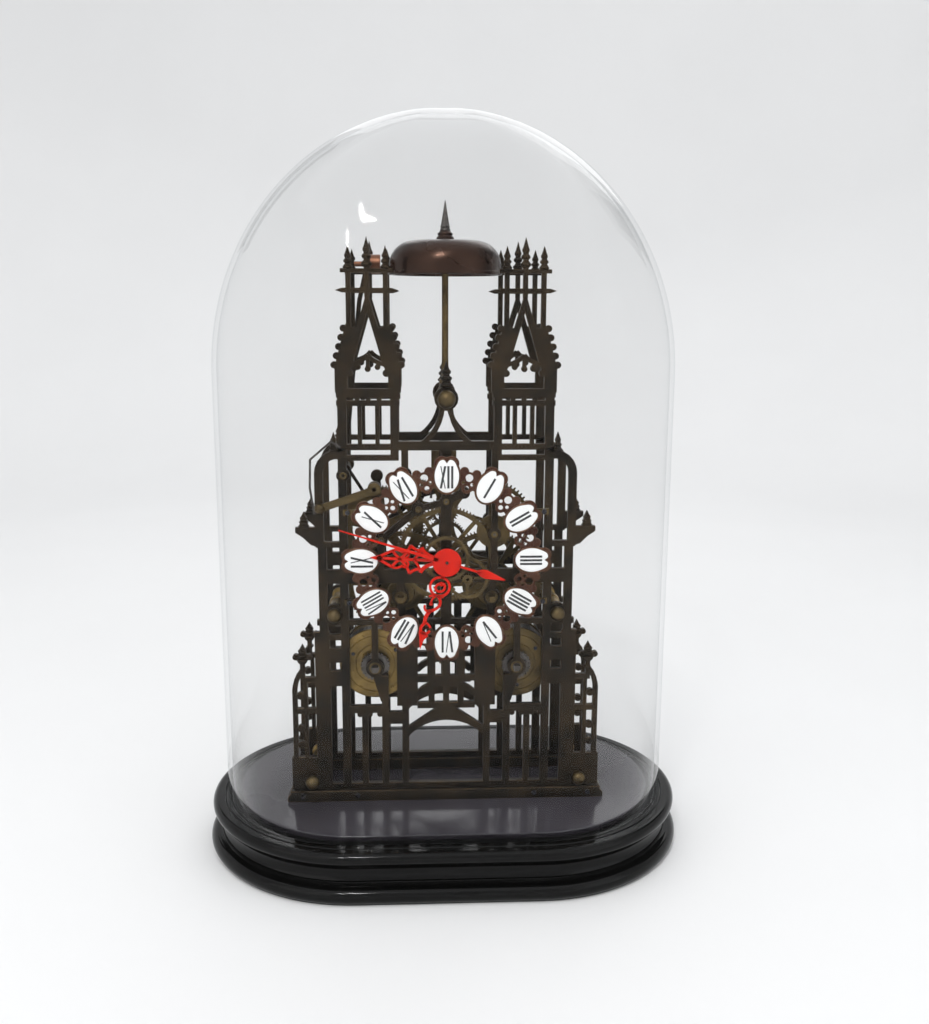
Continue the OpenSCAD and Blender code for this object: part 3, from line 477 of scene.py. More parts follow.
# ---- Pillars, ball nuts and bushes ----
# Turned brass pillars hold the plates apart. Their threaded ends take a ball
# nut in front and a six-sided nut behind. Brass bushes line the pivot holes.
brass = Finish("aged_brass", Metallic=1.0)
clean = brass.blend(brass.noise(210, 3), (0.22, 0.145, 0.048), (0.33, 0.225, 0.085))
brass.patina(60, 6, 0.7, 0.35, 0.7, clean, (0.095, 0.066, 0.028))
brass.polish(130, 5, 0.7, 0.24, 0.46)
brass.bump(brass.noise(700, 2), 0.10)
dull_brass = Finish("dull_brass", Metallic=0.95)
dull_brass.patina(75, 6, 0.7, 0.35, 0.7, (0.15, 0.105, 0.045), (0.058, 0.043, 0.024))
dull_brass.polish(150, 5, 0.7, 0.32, 0.55)
dull_brass.bump(dull_brass.noise(600, 2), 0.12)


def turned(centre, radius, angle, travel, along):
    """The point at that angle and radius round an axis that runs along Y or Z."""
    u, v = centre[0] + radius * math.cos(angle), centre[1] + radius * math.sin(angle)
    return (u, travel, v) if along == "Y" else (u, v, travel)


def lathed(name, rounds, finish, sides=48, along="Y"):
    """Turned solids, each (centre, section) with a section of (radius, place on the axis)."""
    points, faces = [], []
    for centre, section in rounds:
        base = len(points)
        points += [turned(centre, radius, 2 * math.pi * k / sides, travel, along)
                   for radius, travel in section for k in range(sides)]
        top = len(points) - sides
        for a in range(base, top, sides):
            faces += band(a, a + sides, sides) if along == "Z" else band(a + sides, a, sides)
        low, high = tuple(range(base, base + sides)), tuple(range(top, top + sides))
        faces += [low[::-1], high] if along == "Z" else [low, high[::-1]]
    return piece_from(name, points, faces, finish)


PLATE_FACE, MIDDLE_PLANE = -34.5, -6.75
pillar_places = [(76, 174.6), (-76, 174.6), (93.2, 53.8), (-93.2, 53.8), (0, 321)]
pillar_end = [(5.0, 23.65), (5.2, 23.45), (5.2, 21.65), (4.9, 21.25), (4.3, 21.05), (4.1, 20.55),
              (4.6, 20.05), (4.6, 19.45), (3.8, 18.85), (3.5, 18.25), (3.7, 13.25), (4.3, 5.25)]
pillar_section = [(1.9, -37.4), (1.9, -30.5)] + [(r, MIDDLE_PLANE - out) for r, out in pillar_end]
pillar_section += [(4.6, -9.2), (5.3, -8.8), (5.5, -7.6), (5.3, -5.9), (5.5, -4.6), (4.6, -4.2)]
pillar_section += [(r, MIDDLE_PLANE + out) for r, out in reversed(pillar_end)]
pillar_section += [(1.9, 17.0), (1.9, 23.6)]
posts = lathed("turned_pillars", [(p, pillar_section) for p in pillar_places[:4]], brass)
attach(posts, "frame")
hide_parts("plate_pillars")


def ball_section(radius):
    ball = curve_of(0, PLATE_FACE - radius * 0.7, radius, -88, 20, 18)
    return ball + [(radius * 0.80, -35.6), (radius * 0.86, -35.3), (radius * 0.86, -34.7),
                   (radius * 0.80, PLATE_FACE)]


balls = lathed("ball_nuts_turned", [(p, ball_section(6 if p[0] == 0 else 5))
                                    for p in pillar_places], dull_brass)
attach(balls, "frame")
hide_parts("ball_nuts")


def surfaced(names, finish):
    """Parts whose shape is right as it is take a finish of their own."""
    for name in names:
        for holder in frame["nodes"][name].material_slots:
            holder.material = finish.material


surfaced(["top_pillar", "rear_nuts", "front_bushes", "back_bushes", "dial_feet", "escape_cock",
          "pendulum_cock"], dull_brass)

# ---- Finials ----
# Turned brass finials stand on the pinnacles of both plates, pinned over the
# sawn points: three beads that grow smaller, then a spike.
FINIAL_PLANES = (-32.5, 19.0)
FINIAL_BEADS = ((0.14, 0.64), (0.38, 0.55), (0.60, 0.44))
# Each is (distance from the middle, foot, height, width)
PINNACLES = [(39.3, 403, 15.8, 5.2), (51.3, 404.5, 19.8, 5.6), (63.3, 403, 15.8, 5.2),
             (74.6, 285, 14, 5), (95.5, 234, 11.5, 6), (98.7, 140.5, 12.5, 7)]
FINIALS = [(0, 327, 19, 7)] + [(side * out, *size) for side in (1, -1) for out, *size in PINNACLES]


def finial_section(foot, height, width):
    """Three beads and a spike; the beads and necks are shares of the width and height."""
    section = [(0.2 * width, foot - 0.4)]
    for middle, reach in FINIAL_BEADS:
        for a in (math.radians(degrees) for degrees in range(-90, 91, 30)):
            section.append((width * (0.30 + (reach - 0.30) * math.cos(a)),
                            foot + height * (middle + 0.08 * math.sin(a))))
    return section + [(share * width, foot + rise * height) for share, rise in
                      ((0.20, 0.70), (0.26, 0.74), (0.10, 0.90), (0.03, 1))]


finials = lathed("turned_finials", [((x, y), finial_section(foot, height, width))
                                    for y in FINIAL_PLANES for x, foot, height, width in FINIALS],
                 bronze, 20, "Z")
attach(finials, "frame")

# ---- Bell ----
# A cast bell-metal bell with a flat shoulder, turned lines and a beaded lip,
# on a slim post. A stepped collar and a steel spire clamp it from above.
bell_metal = Finish("bell_metal", Metallic=0.9)
bell_metal.patina(16, 4, 0.5, 0.3, 0.7, (0.028, 0.0145, 0.010), (0.048, 0.026, 0.018))
bell_metal.polish(30, 3, 0.5, 0.24, 0.33)
bell_metal.bump(bell_metal.noise(900, 2, 0.5, bell_metal.stretched(1, 1, 6)), 0.04)
steel = Finish("worn_steel", Metallic=1.0)
steel.patina(110, 6, 0.7, 0.35, 0.7, (0.125, 0.115, 0.108), (0.045, 0.040, 0.036))
steel.polish(170, 5, 0.7, 0.22, 0.44)
steel.bump(steel.noise(800, 2), 0.08)

bell_outside = [(36.6, 401.0), (37.6, 401.05), (38.1, 401.5), (38.2, 402.3), (38.0, 403.2),
                (37.5, 403.7), (37.4, 404.3), (37.35, 406)]
bell_outside += curve_of(21.2, 407, 16.2, 4, 88, 14)
bell_outside += [(20.0, 423.3), (19.7, 423.05), (19.2, 423.05), (18.9, 423.35), (12, 423.7),
                 (8.2, 423.9), (7.9, 423.7), (7.4, 423.7), (7.1, 423.95), (1.6, 424.0)]
bell_inside = [(1.6, 422.0), (19, 421.6)] + curve_of(21.2, 407, 14.2, 86, 6, 10)
bell_inside += [(35.4, 405), (35.9, 402.2), (36.2, 401.3)]
post_section = [(1.7, 323.2), (1.7, 329), (3.8, 329.1), (4, 329.4), (4, 331.4), (3.7, 331.8),
                (3.0, 332.2), (2.7, 333.4), (2.35, 336), (2.2, 350), (2.2, 400), (2.35, 414),
                (2.7, 416.4), (3.4, 417.4), (4, 418.4), (4, 421.2), (3.7, 421.8), (1.5, 422),
                (1.5, 431)]
collar_section = [(1.6, 424), (5.5, 424), (5.8, 424.3), (5.8, 425.5), (5.4, 426), (4.7, 426.3),
                  (4.5, 426.8), (5.0, 427.2), (5.2, 427.7), (5.0, 428.3), (4.2, 428.8),
                  (3.5, 429.6), (1.6, 429.6)]
spire_section = [(3.4, 429.6), (3.6, 430.2), (3.4, 430.9), (2.9, 431.2), (3.0, 431.9),
                 (3.4, 432.3), (3.3, 432.9), (2.8, 433.3), (2.55, 435), (1.9, 439), (1.2, 443.2),
                 (0.5, 447.6), (0.15, 449.4)]
BELL_AXIS = (0, MIDDLE_PLANE)


def ringed(name, centre, section, finish, sides=96, along="Z"):
    """A turned shell round an axis, from its closed section."""
    points, faces, count = [], [], len(section)
    for k in range(sides):
        points += [turned(centre, radius, 2 * math.pi * k / sides, travel, along)
                   for radius, travel in section]
        a, b = k * count, (k + 1) % sides * count
        faces += band(b, a, count) if along == "Z" else band(a, b, count)
    return piece_from(name, points, faces, finish)


gong = ringed("bell_cast", BELL_AXIS, bell_outside + bell_inside, bell_metal)
stem = lathed("bell_post_turned", [(BELL_AXIS, post_section)], dull_brass, 32, "Z")
collar = ringed("bell_collar_turned", BELL_AXIS, collar_section, bell_metal, 48)
needle = lathed("bell_spire_turned", [(BELL_AXIS, spire_section)], steel, 32, "Z")
for piece, node, slot in ((gong, "bell", "bell_metal"), (stem, "bell_post", "brass_dark"),
                          (collar, "bell_collar", "plates"), (needle, "bell_spire", "steel")):
    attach(piece, "frame")
    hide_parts(node)

# ---- Dial ring ----
# A fretted ring cast in reddish brass, with a raised wire edge round the seat
# of each enamel plaque.
red_brass = Finish("red_brass", Metallic=0.8)
red_brass.patina(60, 6, 0.65, 0.35, 0.7, (0.050, 0.019, 0.012), (0.115, 0.050, 0.028))
red_brass.polish(120, 5, 0.7, 0.34, 0.58)
red_brass.bump(red_brass.noise(500, 3), 0.2)
red_rub = Finish("rubbed_red_brass", Metallic=0.9)
red_rub.patina(140, 5, 0.55, 0.35, 0.65, (0.085, 0.040, 0.025), (0.19, 0.10, 0.056))
red_rub.polish(220, 4, 0.55, 0.3, 0.5, high=0.7)
filed_copy("dial_ring", "dial_ring_filed", red_brass, red_rub, 0.25)

DIAL_CENTRE, DIAL_RADIUS, HOURS = (0.0, 214.2), 57.0, 12
PLAQUE_HALF_WIDTH, PLAQUE_HALF_HEIGHT = 8.1, 11.0


def plaque_edge(angle, grow=0.0):
    """From a plaque's middle to its edge: an oval, with a notch between two lobes at the top."""
    reach = 1 / math.hypot(math.cos(angle) / (PLAQUE_HALF_WIDTH + grow),
                           math.sin(angle) / (PLAQUE_HALF_HEIGHT + grow))
    off = abs(math.remainder(angle - math.pi / 2, 2 * math.pi))
    lobes = 0.75 * math.exp(-((off - 0.42) / 0.24) ** 2)
    notch = 2.5 * math.exp(-(off / 0.11) ** 2)
    return reach + lobes - notch


def on_dial(hour, u, v, y):
    """A point of the plaque for that hour: u across it and v outwards from its middle."""
    a, out = math.radians(-30 * hour), v + DIAL_RADIUS
    return (DIAL_CENTRE[0] + u * math.cos(a) - out * math.sin(a), y,
            DIAL_CENTRE[1] + u * math.sin(a) + out * math.cos(a))


def plaque_point(hour, step, y, grow=0.0, share=1.0):
    """A point of a plaque's outline, grown outwards or drawn in towards its middle."""
    a = 2 * math.pi * step / EDGE_STEPS
    reach = plaque_edge(a, grow) * share
    return on_dial(hour, reach * math.cos(a), reach * math.sin(a), y)


EDGE_STEPS = 96
SEAT_WIRE = ((0.15, -44.9), (0.2, -45.3), (0.5, -45.55), (0.85, -45.3), (0.9, -44.9))
wire = len(SEAT_WIRE)
edge_points, edge_faces = [], []
for hour in range(HOURS):
    base = len(edge_points)
    for k in range(EDGE_STEPS):
        edge_points += [plaque_point(hour, k, y, grow) for grow, y in SEAT_WIRE]
        edge_faces += band(base + wire * k, base + wire * ((k + 1) % EDGE_STEPS), wire)
seats = piece_from("plaque_seats", edge_points, edge_faces, red_rub)
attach(seats, "frame")

# ---- Enamel plaques and numerals ----
# Each hour has its own crowned plaque of white vitreous enamel on copper,
# pinned in its seat. The Roman numerals are fired on in black.
enamel = Finish("white_enamel", Coat_Weight=0.5, Coat_Roughness=0.06)
enamel.patina(90, 5, 0.6, 0.4, 0.8, (0.96, 0.96, 0.96), (0.86, 0.86, 0.84))
enamel.polish(60, 4, 0.55, 0.12, 0.26, high=0.7)
enamel.bump(enamel.noise(300, 2), 0.06)
PLAQUE_CROWN = -46.11
PLAQUE_LEVELS = [(1.0, -44.85), (1.0, -45.35), (0.985, -45.55), (0.95, -45.68), (0.88, -45.80),
                 (0.74, -45.93), (0.52, -46.04), (0.26, -46.10)]


def crown_at(share):
    """Height of the plaque's face at that share of the way from its middle to its edge."""
    for (outer, low), (inner, high) in zip(PLAQUE_LEVELS[1:], PLAQUE_LEVELS[2:]):
        if share >= inner:
            return low + (high - low) * (outer - min(share, outer)) / (outer - inner)
    return PLAQUE_LEVELS[-1][1]


points, faces = [], []
for hour in range(HOURS):
    base = len(points)
    points += [plaque_point(hour, k, y, share=share) for share, y in PLAQUE_LEVELS
               for k in range(EDGE_STEPS)]
    points.append(on_dial(hour, 0, 0, PLAQUE_CROWN))
    top = base + (len(PLAQUE_LEVELS) - 1) * EDGE_STEPS
    for a in range(base, top, EDGE_STEPS):
        faces += band(a, a + EDGE_STEPS, EDGE_STEPS)
    faces += fan(top, len(points) - 1, EDGE_STEPS)
    faces.append(tuple(base + k for k in reversed(range(EDGE_STEPS))))
plaques = piece_from("enamel_plaques", points, faces, enamel)
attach(plaques, "frame")
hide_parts("dial_cartouches")

black_enamel = Finish("black_enamel", Coat_Weight=0.4)
black_enamel.drive("Base_Color", black_enamel.blend(
    black_enamel.noise(300, 3), (0.008, 0.008, 0.010), (0.03, 0.03, 0.032)))
black_enamel.polish(160, 3, 0.55, 0.25, 0.45, high=0.7)
THICK, THIN, CLOSE = 1.45, 0.65, 1.15


def upright(*places, thickness=THICK):
    return [(place, place, thickness) for place in places]


# Each stroke is (place at its foot, place at its head, thickness), foot towards the dial's middle
NUMERALS = [
    [(-4.0, -1.1, THICK), (-1.1, -4.0, THIN)] + upright(1.0, 3.5), upright(0),
    upright(-1.3, 1.3), upright(-2.5, 0, 2.5), upright(-3.75, -1.25, 1.25, 3.75),
    [(-0.1, -2.1, THICK), (0.2, 2.2, THIN)],
    [(-1.9, -3.8, THICK), (-1.6, 0.3, THIN)] + upright(2.8),
    [(-2.8, -4.5, THICK), (-2.5, -0.9, THIN)] + upright(1.3, 3.8),
    [(-3.9, -5.3, CLOSE), (-3.6, -2.2, THIN)] + upright(-0.4, 1.9, 4.2, thickness=CLOSE),
    upright(-3.4) + [(-0.9, 2.6, THICK), (2.6, -0.9, THIN)],
    [(-1.8, 1.8, THICK), (1.8, -1.8, THIN)],
    [(-3.8, -0.4, THICK), (-0.4, -3.8, THIN)] + upright(2.7)]
HEAD, SERIF, STROKE_STEPS = 7.4, 0.85, 14
points, faces = [], []


def fired_stroke(hour, foot, head, thickness):
    base = len(points)
    for k in range(STROKE_STEPS + 1):
        v = foot[1] + (head[1] - foot[1]) * k / STROKE_STEPS - 0.6
        u = foot[0] + (head[0] - foot[0]) * k / STROKE_STEPS
        for du, raise_by in ((-0.5, -0.3), (-0.5, 0.1), (0.5, 0.1), (0.5, -0.3)):
            x = u + du * thickness
            share = math.hypot(x, v) / plaque_edge(math.atan2(v, x))
            points.append(on_dial(hour, x, v, crown_at(share) - raise_by))
    for k in range(STROKE_STEPS):
        a = base + 4 * k
        faces.extend(band(a, a + 4, 4))
    faces.append(tuple(base + i for i in (3, 2, 1, 0)))
    faces.append(tuple(base + 4 * STROKE_STEPS + i for i in range(4)))


for hour, strokes in enumerate(NUMERALS):
    for foot_u, head_u, thickness in strokes:
        fired_stroke(hour, (foot_u, -HEAD), (head_u, HEAD), thickness)
        for u, v in ((foot_u, -HEAD), (head_u, HEAD)):
            fired_stroke(hour, (u - SERIF, v), (u + SERIF, v), 0.0)
numerals = piece_from("roman_numerals", points, faces, black_enamel)
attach(numerals, "frame")
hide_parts("dial_numerals")

# ---- Hands ----
# Three hands pierced from thin sheet and enamelled bright red: scrolled minute
# and hour hands on their pipes, and a slim centre seconds hand in front.
red = Finish("red_enamel", Specular_IOR_Level=0.16)
red.patina(150, 4, 0.6, 0.35, 0.7, (0.72, 0.012, 0.001), (0.56, 0.008, 0.001))
red.polish(200, 4, 0.55, 0.30, 0.50, high=0.7)
red.bump(red.noise(700, 2), 0.06)
SHEET, SHEET_EDGE, ARRIS, BOSS_SIDES = 1, 0.78, 0.2, 64


def bend(a, b, c, steps=8):
    """A soft curve from a to c that leans towards b."""
    return [tuple((1 - t) ** 2 * a[i] + 2 * t * (1 - t) * b[i] + t * t * c[i] for i in (0, 1))
            for t in (k / steps for k in range(steps + 1))]


def pierced_hand(name, node, body, back, angle, strokes, leaves, boss, bore):
    """A hand of thin sheet, made of strokes (line, width), solid leaves and a round boss."""
    turn = math.radians(-angle)
    points, faces = [], []

    def put(u, v, y):
        points.append((DIAL_CENTRE[0] + u * math.cos(turn) - v * math.sin(turn), y,
                       DIAL_CENTRE[1] + u * math.sin(turn) + v * math.cos(turn)))

    for line, width in strokes:
        base = len(points)
        for k, (u, v) in enumerate(line):
            before, after = line[max(k - 1, 0)], line[min(k + 1, len(line) - 1)]
            du, dv = after[0] - before[0], after[1] - before[1]
            size = math.hypot(du, dv)
            nu, nv = -dv / size, du / size
            flat = 0.5 - ARRIS / width
            for side, depth in ((-0.5, 0), (-0.5, SHEET_EDGE), (-flat, SHEET), (flat, SHEET),
                                (0.5, SHEET_EDGE), (0.5, 0)):
                put(u + nu * side * width, v + nv * side * width, back - depth)
        for a in range(base, len(points) - 6, 6):
            faces.extend(band(a, a + 6, 6))
        faces.append(tuple(base + i for i in (5, 4, 3, 2, 1, 0)))
        faces.append(tuple(base + 6 * (len(line) - 1) + i for i in range(6)))
    for outline in leaves:
        base, count = len(points), len(outline)
        middle = [sum(c) / count for c in zip(*outline)]
        for inward, depth in ((0, 0), (0, SHEET_EDGE), (0.16, SHEET)):
            for u, v in outline:
                out_u, out_v = u - middle[0], v - middle[1]
                share = 1 - inward / max(math.hypot(out_u, out_v), 0.4)
                put(middle[0] + out_u * share, middle[1] + out_v * share, back - depth)
        faces.extend(band(base + count, base, count) + band(base + 2 * count, base + count, count))
        faces.append(tuple(base + i for i in range(count)))
        faces.append(tuple(base + 2 * count + i for i in reversed(range(count))))
    base = len(points)
    section = ((bore, 0), (boss, 0), (boss, 0.8), (boss - 0.25, SHEET), (bore + 0.1, SHEET),
               (bore, 0.9))
    for k in range(BOSS_SIDES):
        a = 2 * math.pi * k / BOSS_SIDES
        for radius, depth in section:
            put(radius * math.cos(a), radius * math.sin(a), back - depth)
        faces.extend(band(base + 6 * ((k + 1) % BOSS_SIDES), base + 6 * k, 6))
    work = bmesh.new()
    hand = piece_from(name, points, faces, red)
    work.from_mesh(hand.data)
    bmesh.ops.recalc_face_normals(work, faces=work.faces)
    work.to_mesh(hand.data)
    work.free()
    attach(hand, body)
    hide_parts(node)


def both(line, width):
    return [(line, width), ([(-u, v) for u, v in line], width)]


hour_strokes = [([(0, 6), (0, 46)], 1.9)]
for line, width in (
        ([(0.2, 46.5), (5.6, 36.2)], 1.4), (bend((5.6, 36.2), (2.4, 34.4), (0, 31)), 1.5),
        (bend((0, 31.5), (3.6, 26.5), (9.6, 24.4)), 1.5),
        (bend((9.6, 24.4), (6.2, 21.6), (6.4, 17.6)), 1.5),
        (bend((8.6, 17.2), (4.2, 15.8), (2.2, 9)), 2.0),
        (bend((6.8, 17.4), (3.8, 18.6), (0, 22)), 1.3), (curve_of(3.3, 27.6, 2.2, 150, 420), 1.1),
        (bend((5.4, 36.4), (7.4, 33.6), (4.4, 29.2)), 1.2)):
    hour_strokes += both(line, width * 1.25)
pierced_hand("hour_hand_pierced", "hour_hand", "hour_wheel", -46.4, 273.3, hour_strokes,
             [[(-2.2, 44), (0, 51), (2.2, 44), (0, 42)]], 7.0, 4.02)
minute_scroll = curve_of(-0.6, 17.8, 3.2, 250, 20, 18) + bend(
    (2.4, 18.9), (1.6, 15.2), (-0.8, 15.6), 5)[1:]
minute_neck = bend((-0.4, 23.6), (-6.8, 28.4), (-1.6, 33.6), 12) + bend(
    (-1.6, 33.6), (-0.2, 34.8), (1.8, 36.2), 5)[1:]
minute_strokes = [
    (curve_of(-0.4, 17.6, 6.5, -90, 270, 40), 1.7), ([(0, 5), (-0.4, 11.6)], 2.6),
    (minute_scroll, 1.6), (bend((-0.4, 24.0), (2.2, 24.2), (4.6, 26.0)), 1.4),
    (bend((-0.4, 24.0), (-2.6, 24.4), (-4.8, 23.8)), 1.4), (minute_neck, 1.9),
    (bend((0.4, 24.4), (3.0, 27.4), (1.8, 30.4)), 1.3),
    (bend((1.8, 36.2), (5.4, 36.6), (5.6, 32.6)), 1.6),
    (bend((0.8, 35.0), (3.8, 39.6), (2.0, 45.2), 10), 2.5),
    (bend((2.6, 43.8), (-0.6, 44.4), (-2.4, 46.6)), 1.4),
    (bend((2.2, 44.8), (5.2, 48.6), (2.2, 51.6)), 1.9),
    (bend((2.2, 51.6), (-1.2, 52.6), (-2.6, 48.8)), 1.6)]
minute_leaves = [
    [(4.4, 51.2), (2.8, 55.4), (0, 63.4), (-0.6, 56.0), (-2.6, 52.6), (0.8, 50.4)],
    curve_of(-0.8, 15.6, 1.5, 0, 330, 11), curve_of(1.9, 30.6, 1.2, 0, 330, 11)]
pierced_hand("minute_hand_pierced", "minute_hand", "centre_arbor", -48.4, 196.7, minute_strokes,
             minute_leaves, 6.4, 2.64)
seconds_leaves = [
    [(-1.25, 6), (-0.8, 30), (-0.3, 74.6), (0.3, 74.6), (0.8, 30), (1.25, 6)],
    [(-0.8, -21), (0.8, -21), (2.5, -24.2), (3.0, -27.2), (0.3, -40.6), (-0.3, -40.6),
     (-3.0, -27.2), (-2.5, -24.2)]]
pierced_hand("seconds_hand_pierced", "seconds_hand", "seconds_arbor", -50.6, 287.5,
             [([(0, -8), (0, -24)], 1.5)], seconds_leaves, 9.5, 1.02)

# ---- Spring barrels ----
# Two brass drums hold the mainsprings. Each has a turned cover with grooves,
# and its steel arbor carries a ratchet wheel against the plate.
BARRELS = {"going": (49, 135.5), "strike": (-49, 135.5)}
barrel_section = [
    (3.1, -23.4), (3.3, -23.9), (6.4, -23.95), (6.7, -23.6), (7.3, -23.6), (7.6, -23.85),
    (13.2, -23.75), (13.5, -23.4), (14.1, -23.4), (14.4, -23.75), (19.6, -23.9), (19.9, -23.55),
    (20.4, -23.55), (20.7, -23.95), (24.5, -24), (25, -23.6), (25, -22.4), (24.7, -22),
    (23.8, -22), (23.8, -4), (24.7, -4), (25, -3.6), (25, -2.4), (24.6, -2), (4.0, -2.0),
    (3.1, -2.3)]
for train, centre in BARRELS.items():
    drum = ringed(train + "_barrel_turned", centre, barrel_section,
                  brass if train == "strike" else dull_brass, 120, "Y")
    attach(drum, train + "_barrel")
    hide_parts(train + "_barrel")
surfaced(["going_barrel_arbor", "strike_barrel_arbor"], steel)

# ---- Fusees and their chains ----
# Each fusee is a grooved cone with a great wheel pinned to it. A riveted steel
# chain is wound on the drum and runs straight across to the cone.
surfaced(["going_fusee", "strike_fusee", "going_great_wheel", "strike_great_wheel"], dull_brass)


def open_tree(name, sizes):
    """An empty tree of Geometry Nodes that takes points and named sizes."""
    tree = bpy.data.node_groups.new(name, "GeometryNodeTree")
    tree.interface.new_socket("Geometry", in_out="OUTPUT", socket_type="NodeSocketGeometry")
    tree.interface.new_socket("Geometry", in_out="INPUT", socket_type="NodeSocketGeometry")
    for title, value in sizes.items():
        socket = tree.interface.new_socket(title, in_out="INPUT", socket_type="NodeSocketFloat")
        socket.default_value = value
    entry = tree.nodes.new("NodeGroupInput")
    leave = tree.nodes.new("NodeGroupOutput")
    return tree, entry, leave


def set_along(tree, entry, leave, part, finish):
    """Puts the part on every point, turned to the point's own 'pose', as real geometry."""
    pose = add(tree, "GeometryNodeInputNamedAttribute", {"data_type": "QUATERNION"}, Name="pose")
    placed = add(tree, "GeometryNodeInstanceOnPoints", Points=entry.outputs["Geometry"],
                 Instance=part, Rotation=pose.outputs["Attribute"])
    real = add(tree, "GeometryNodeRealizeInstances", Geometry=placed.outputs["Instances"])
    coated = add(tree, "GeometryNodeSetMaterial", Geometry=real.outputs["Geometry"])
    coated.inputs["Material"].default_value = finish.material
    tree.links.new(coated.outputs["Geometry"], leave.inputs["Geometry"])


def grown(name, stations, tree, sizes):
    """Runs a tree over stations, each (place in millimetres, pose), and keeps a plain mesh."""
    mesh = bpy.data.meshes.new(name)
    mesh.from_pydata([tuple(c * 0.001 for c in place) for place, _ in stations], [], [])
    pose = mesh.attributes.new("pose", "QUATERNION", "POINT")
    pose.data.foreach_set("value", [c for _, turn in stations for c in turn])
    piece = bpy.data.objects.new(name, mesh)
    bpy.context.scene.collection.objects.link(piece)
    modifier = piece.modifiers.new("growth", "NODES")
    modifier.node_group = tree
    for item in tree.interface.items_tree:
        if item.item_type == "SOCKET" and item.in_out == "INPUT" and item.name in sizes:
            modifier[item.identifier] = sizes[item.name] * 0.001
    settle(piece, modifier).set_sharp_from_angle(angle=math.radians(35))
    return piece


def sized(tree, x, y, z):
    return add(tree, "ShaderNodeCombineXYZ", X=x, Y=y, Z=z).outputs[0]


def fraction(tree, socket, share):
    return maths(tree, "MULTIPLY", socket, share)


def gathered(tree, parts):
    join = add(tree, "GeometryNodeJoinGeometry")
    for part in parts:
        tree.links.new(part, join.inputs[0])
    return join.outputs["Geometry"]


# A link lies along local X with its face along local Z: a wide outer pair of
# plates, a narrow tongue into the next link and a rivet across
link_tree, entry, leave = open_tree(
    "chain_links", {"Link Length": 0.003, "Link Width": 0.0013, "Link Height": 0.001})
length, width, height = (entry.outputs[t] for t in ("Link Length", "Link Width", "Link Height"))
cheeks = add(link_tree, "GeometryNodeMeshCube",
             Size=sized(link_tree, fraction(link_tree, length, 0.62), width, height))
tongue = add(link_tree, "GeometryNodeMeshCube",
             Size=sized(link_tree, length, fraction(link_tree, width, 0.45),
                        fraction(link_tree, height, 0.8)))
pin = add(link_tree, "GeometryNodeMeshCylinder", Vertices=8,
          Radius=fraction(link_tree, height, 0.30), Depth=fraction(link_tree, width, 1.15))
across = add(link_tree, "GeometryNodeTransform", Geometry=pin.outputs["Mesh"],
             Rotation=(math.pi / 2, 0, 0))
set_along(link_tree, entry, leave, gathered(
    link_tree, (cheeks.outputs["Mesh"], tongue.outputs["Mesh"], across.outputs["Geometry"])), steel)
LINK = {"Link Length": 2.6, "Link Width": 1.3, "Link Height": 0.9}


def pose_of(along, face):
    """The turn that lays local X along one direction and local Z nearest to another."""
    x = Vector(along).normalized()
    y = Vector(face).cross(x).normalized()
    return Matrix((x, y, x.cross(y))).transposed().to_quaternion()


def coil(centre, radius_at, start_y, turns, rise, first_angle, spin):
    """Stations of links wound round an arbor, spin +1 or -1 as seen along +Y."""
    stations, angle, end = [], 0.0, 2 * math.pi * turns
    while angle < end:
        turn = angle / (2 * math.pi)
        radius, a = radius_at(turn), first_angle + spin * angle
        out = Vector((math.cos(a), 0, math.sin(a)))
        tangent = Vector((-math.sin(a), 0, math.cos(a))) * spin
        place = (centre[0] + radius * out.x, start_y + rise * turn, centre[1] + radius * out.z)
        stations.append((place, pose_of(tangent, out)))
        angle += LINK["Link Length"] / radius
    return stations


FUSEES = {"going": (31, 186), "strike": (-31, 186)}
DRUM_COIL, CONE_FOOT, CONE_FLARE = 24.4, 14.0, 1.3
CHAIN_PLANE, CONE_COIL_START, DRUM_PITCH, CONE_PITCH = -12.5, -12.2, -1.4, 2.9
# The striking drum's last turn lies clear of the straight run
DRUM_COIL_START = {"going": CHAIN_PLANE, "strike": -13.95}
straight = []
for train, side in (("going", 1), ("strike", -1)):
    drum, cone = Vector(BARRELS[train]), Vector(FUSEES[train])
    bearing = math.atan2(cone.y - drum.y, cone.x - drum.x)
    slope = math.asin((DRUM_COIL - CONE_FOOT) / (cone - drum).length)
    touch = bearing - side * (math.pi / 2 - slope)
    out = Vector((math.cos(touch), math.sin(touch)))
    start, end = drum + out * DRUM_COIL, cone + out * CONE_FOOT
    lie = pose_of((end.x - start.x, 0, end.y - start.y), (out.x, 0, out.y))
    steps = int((end - start).length / LINK["Link Length"])
    for k in range(steps + 1):
        at = start.lerp(end, k / steps)
        straight.append(((at.x, CHAIN_PLANE, at.y), lie))
    wound = grown(train + "_chain_on_drum",
                  coil(BARRELS[train], lambda turn: DRUM_COIL, DRUM_COIL_START[train], 6,
                       DRUM_PITCH, touch, -side), link_tree, LINK)
    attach(wound, train + "_barrel")
    wound = grown(train + "_chain_on_cone",
                  coil(FUSEES[train], lambda turn: CONE_FOOT + CONE_FLARE * turn,
                       CONE_COIL_START, 3, CONE_PITCH, touch, side), link_tree, LINK)
    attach(wound, train + "_fusee")
taut = grown("chain_runs", straight, link_tree, LINK)
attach(taut, "frame")
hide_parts("fusee_chains")
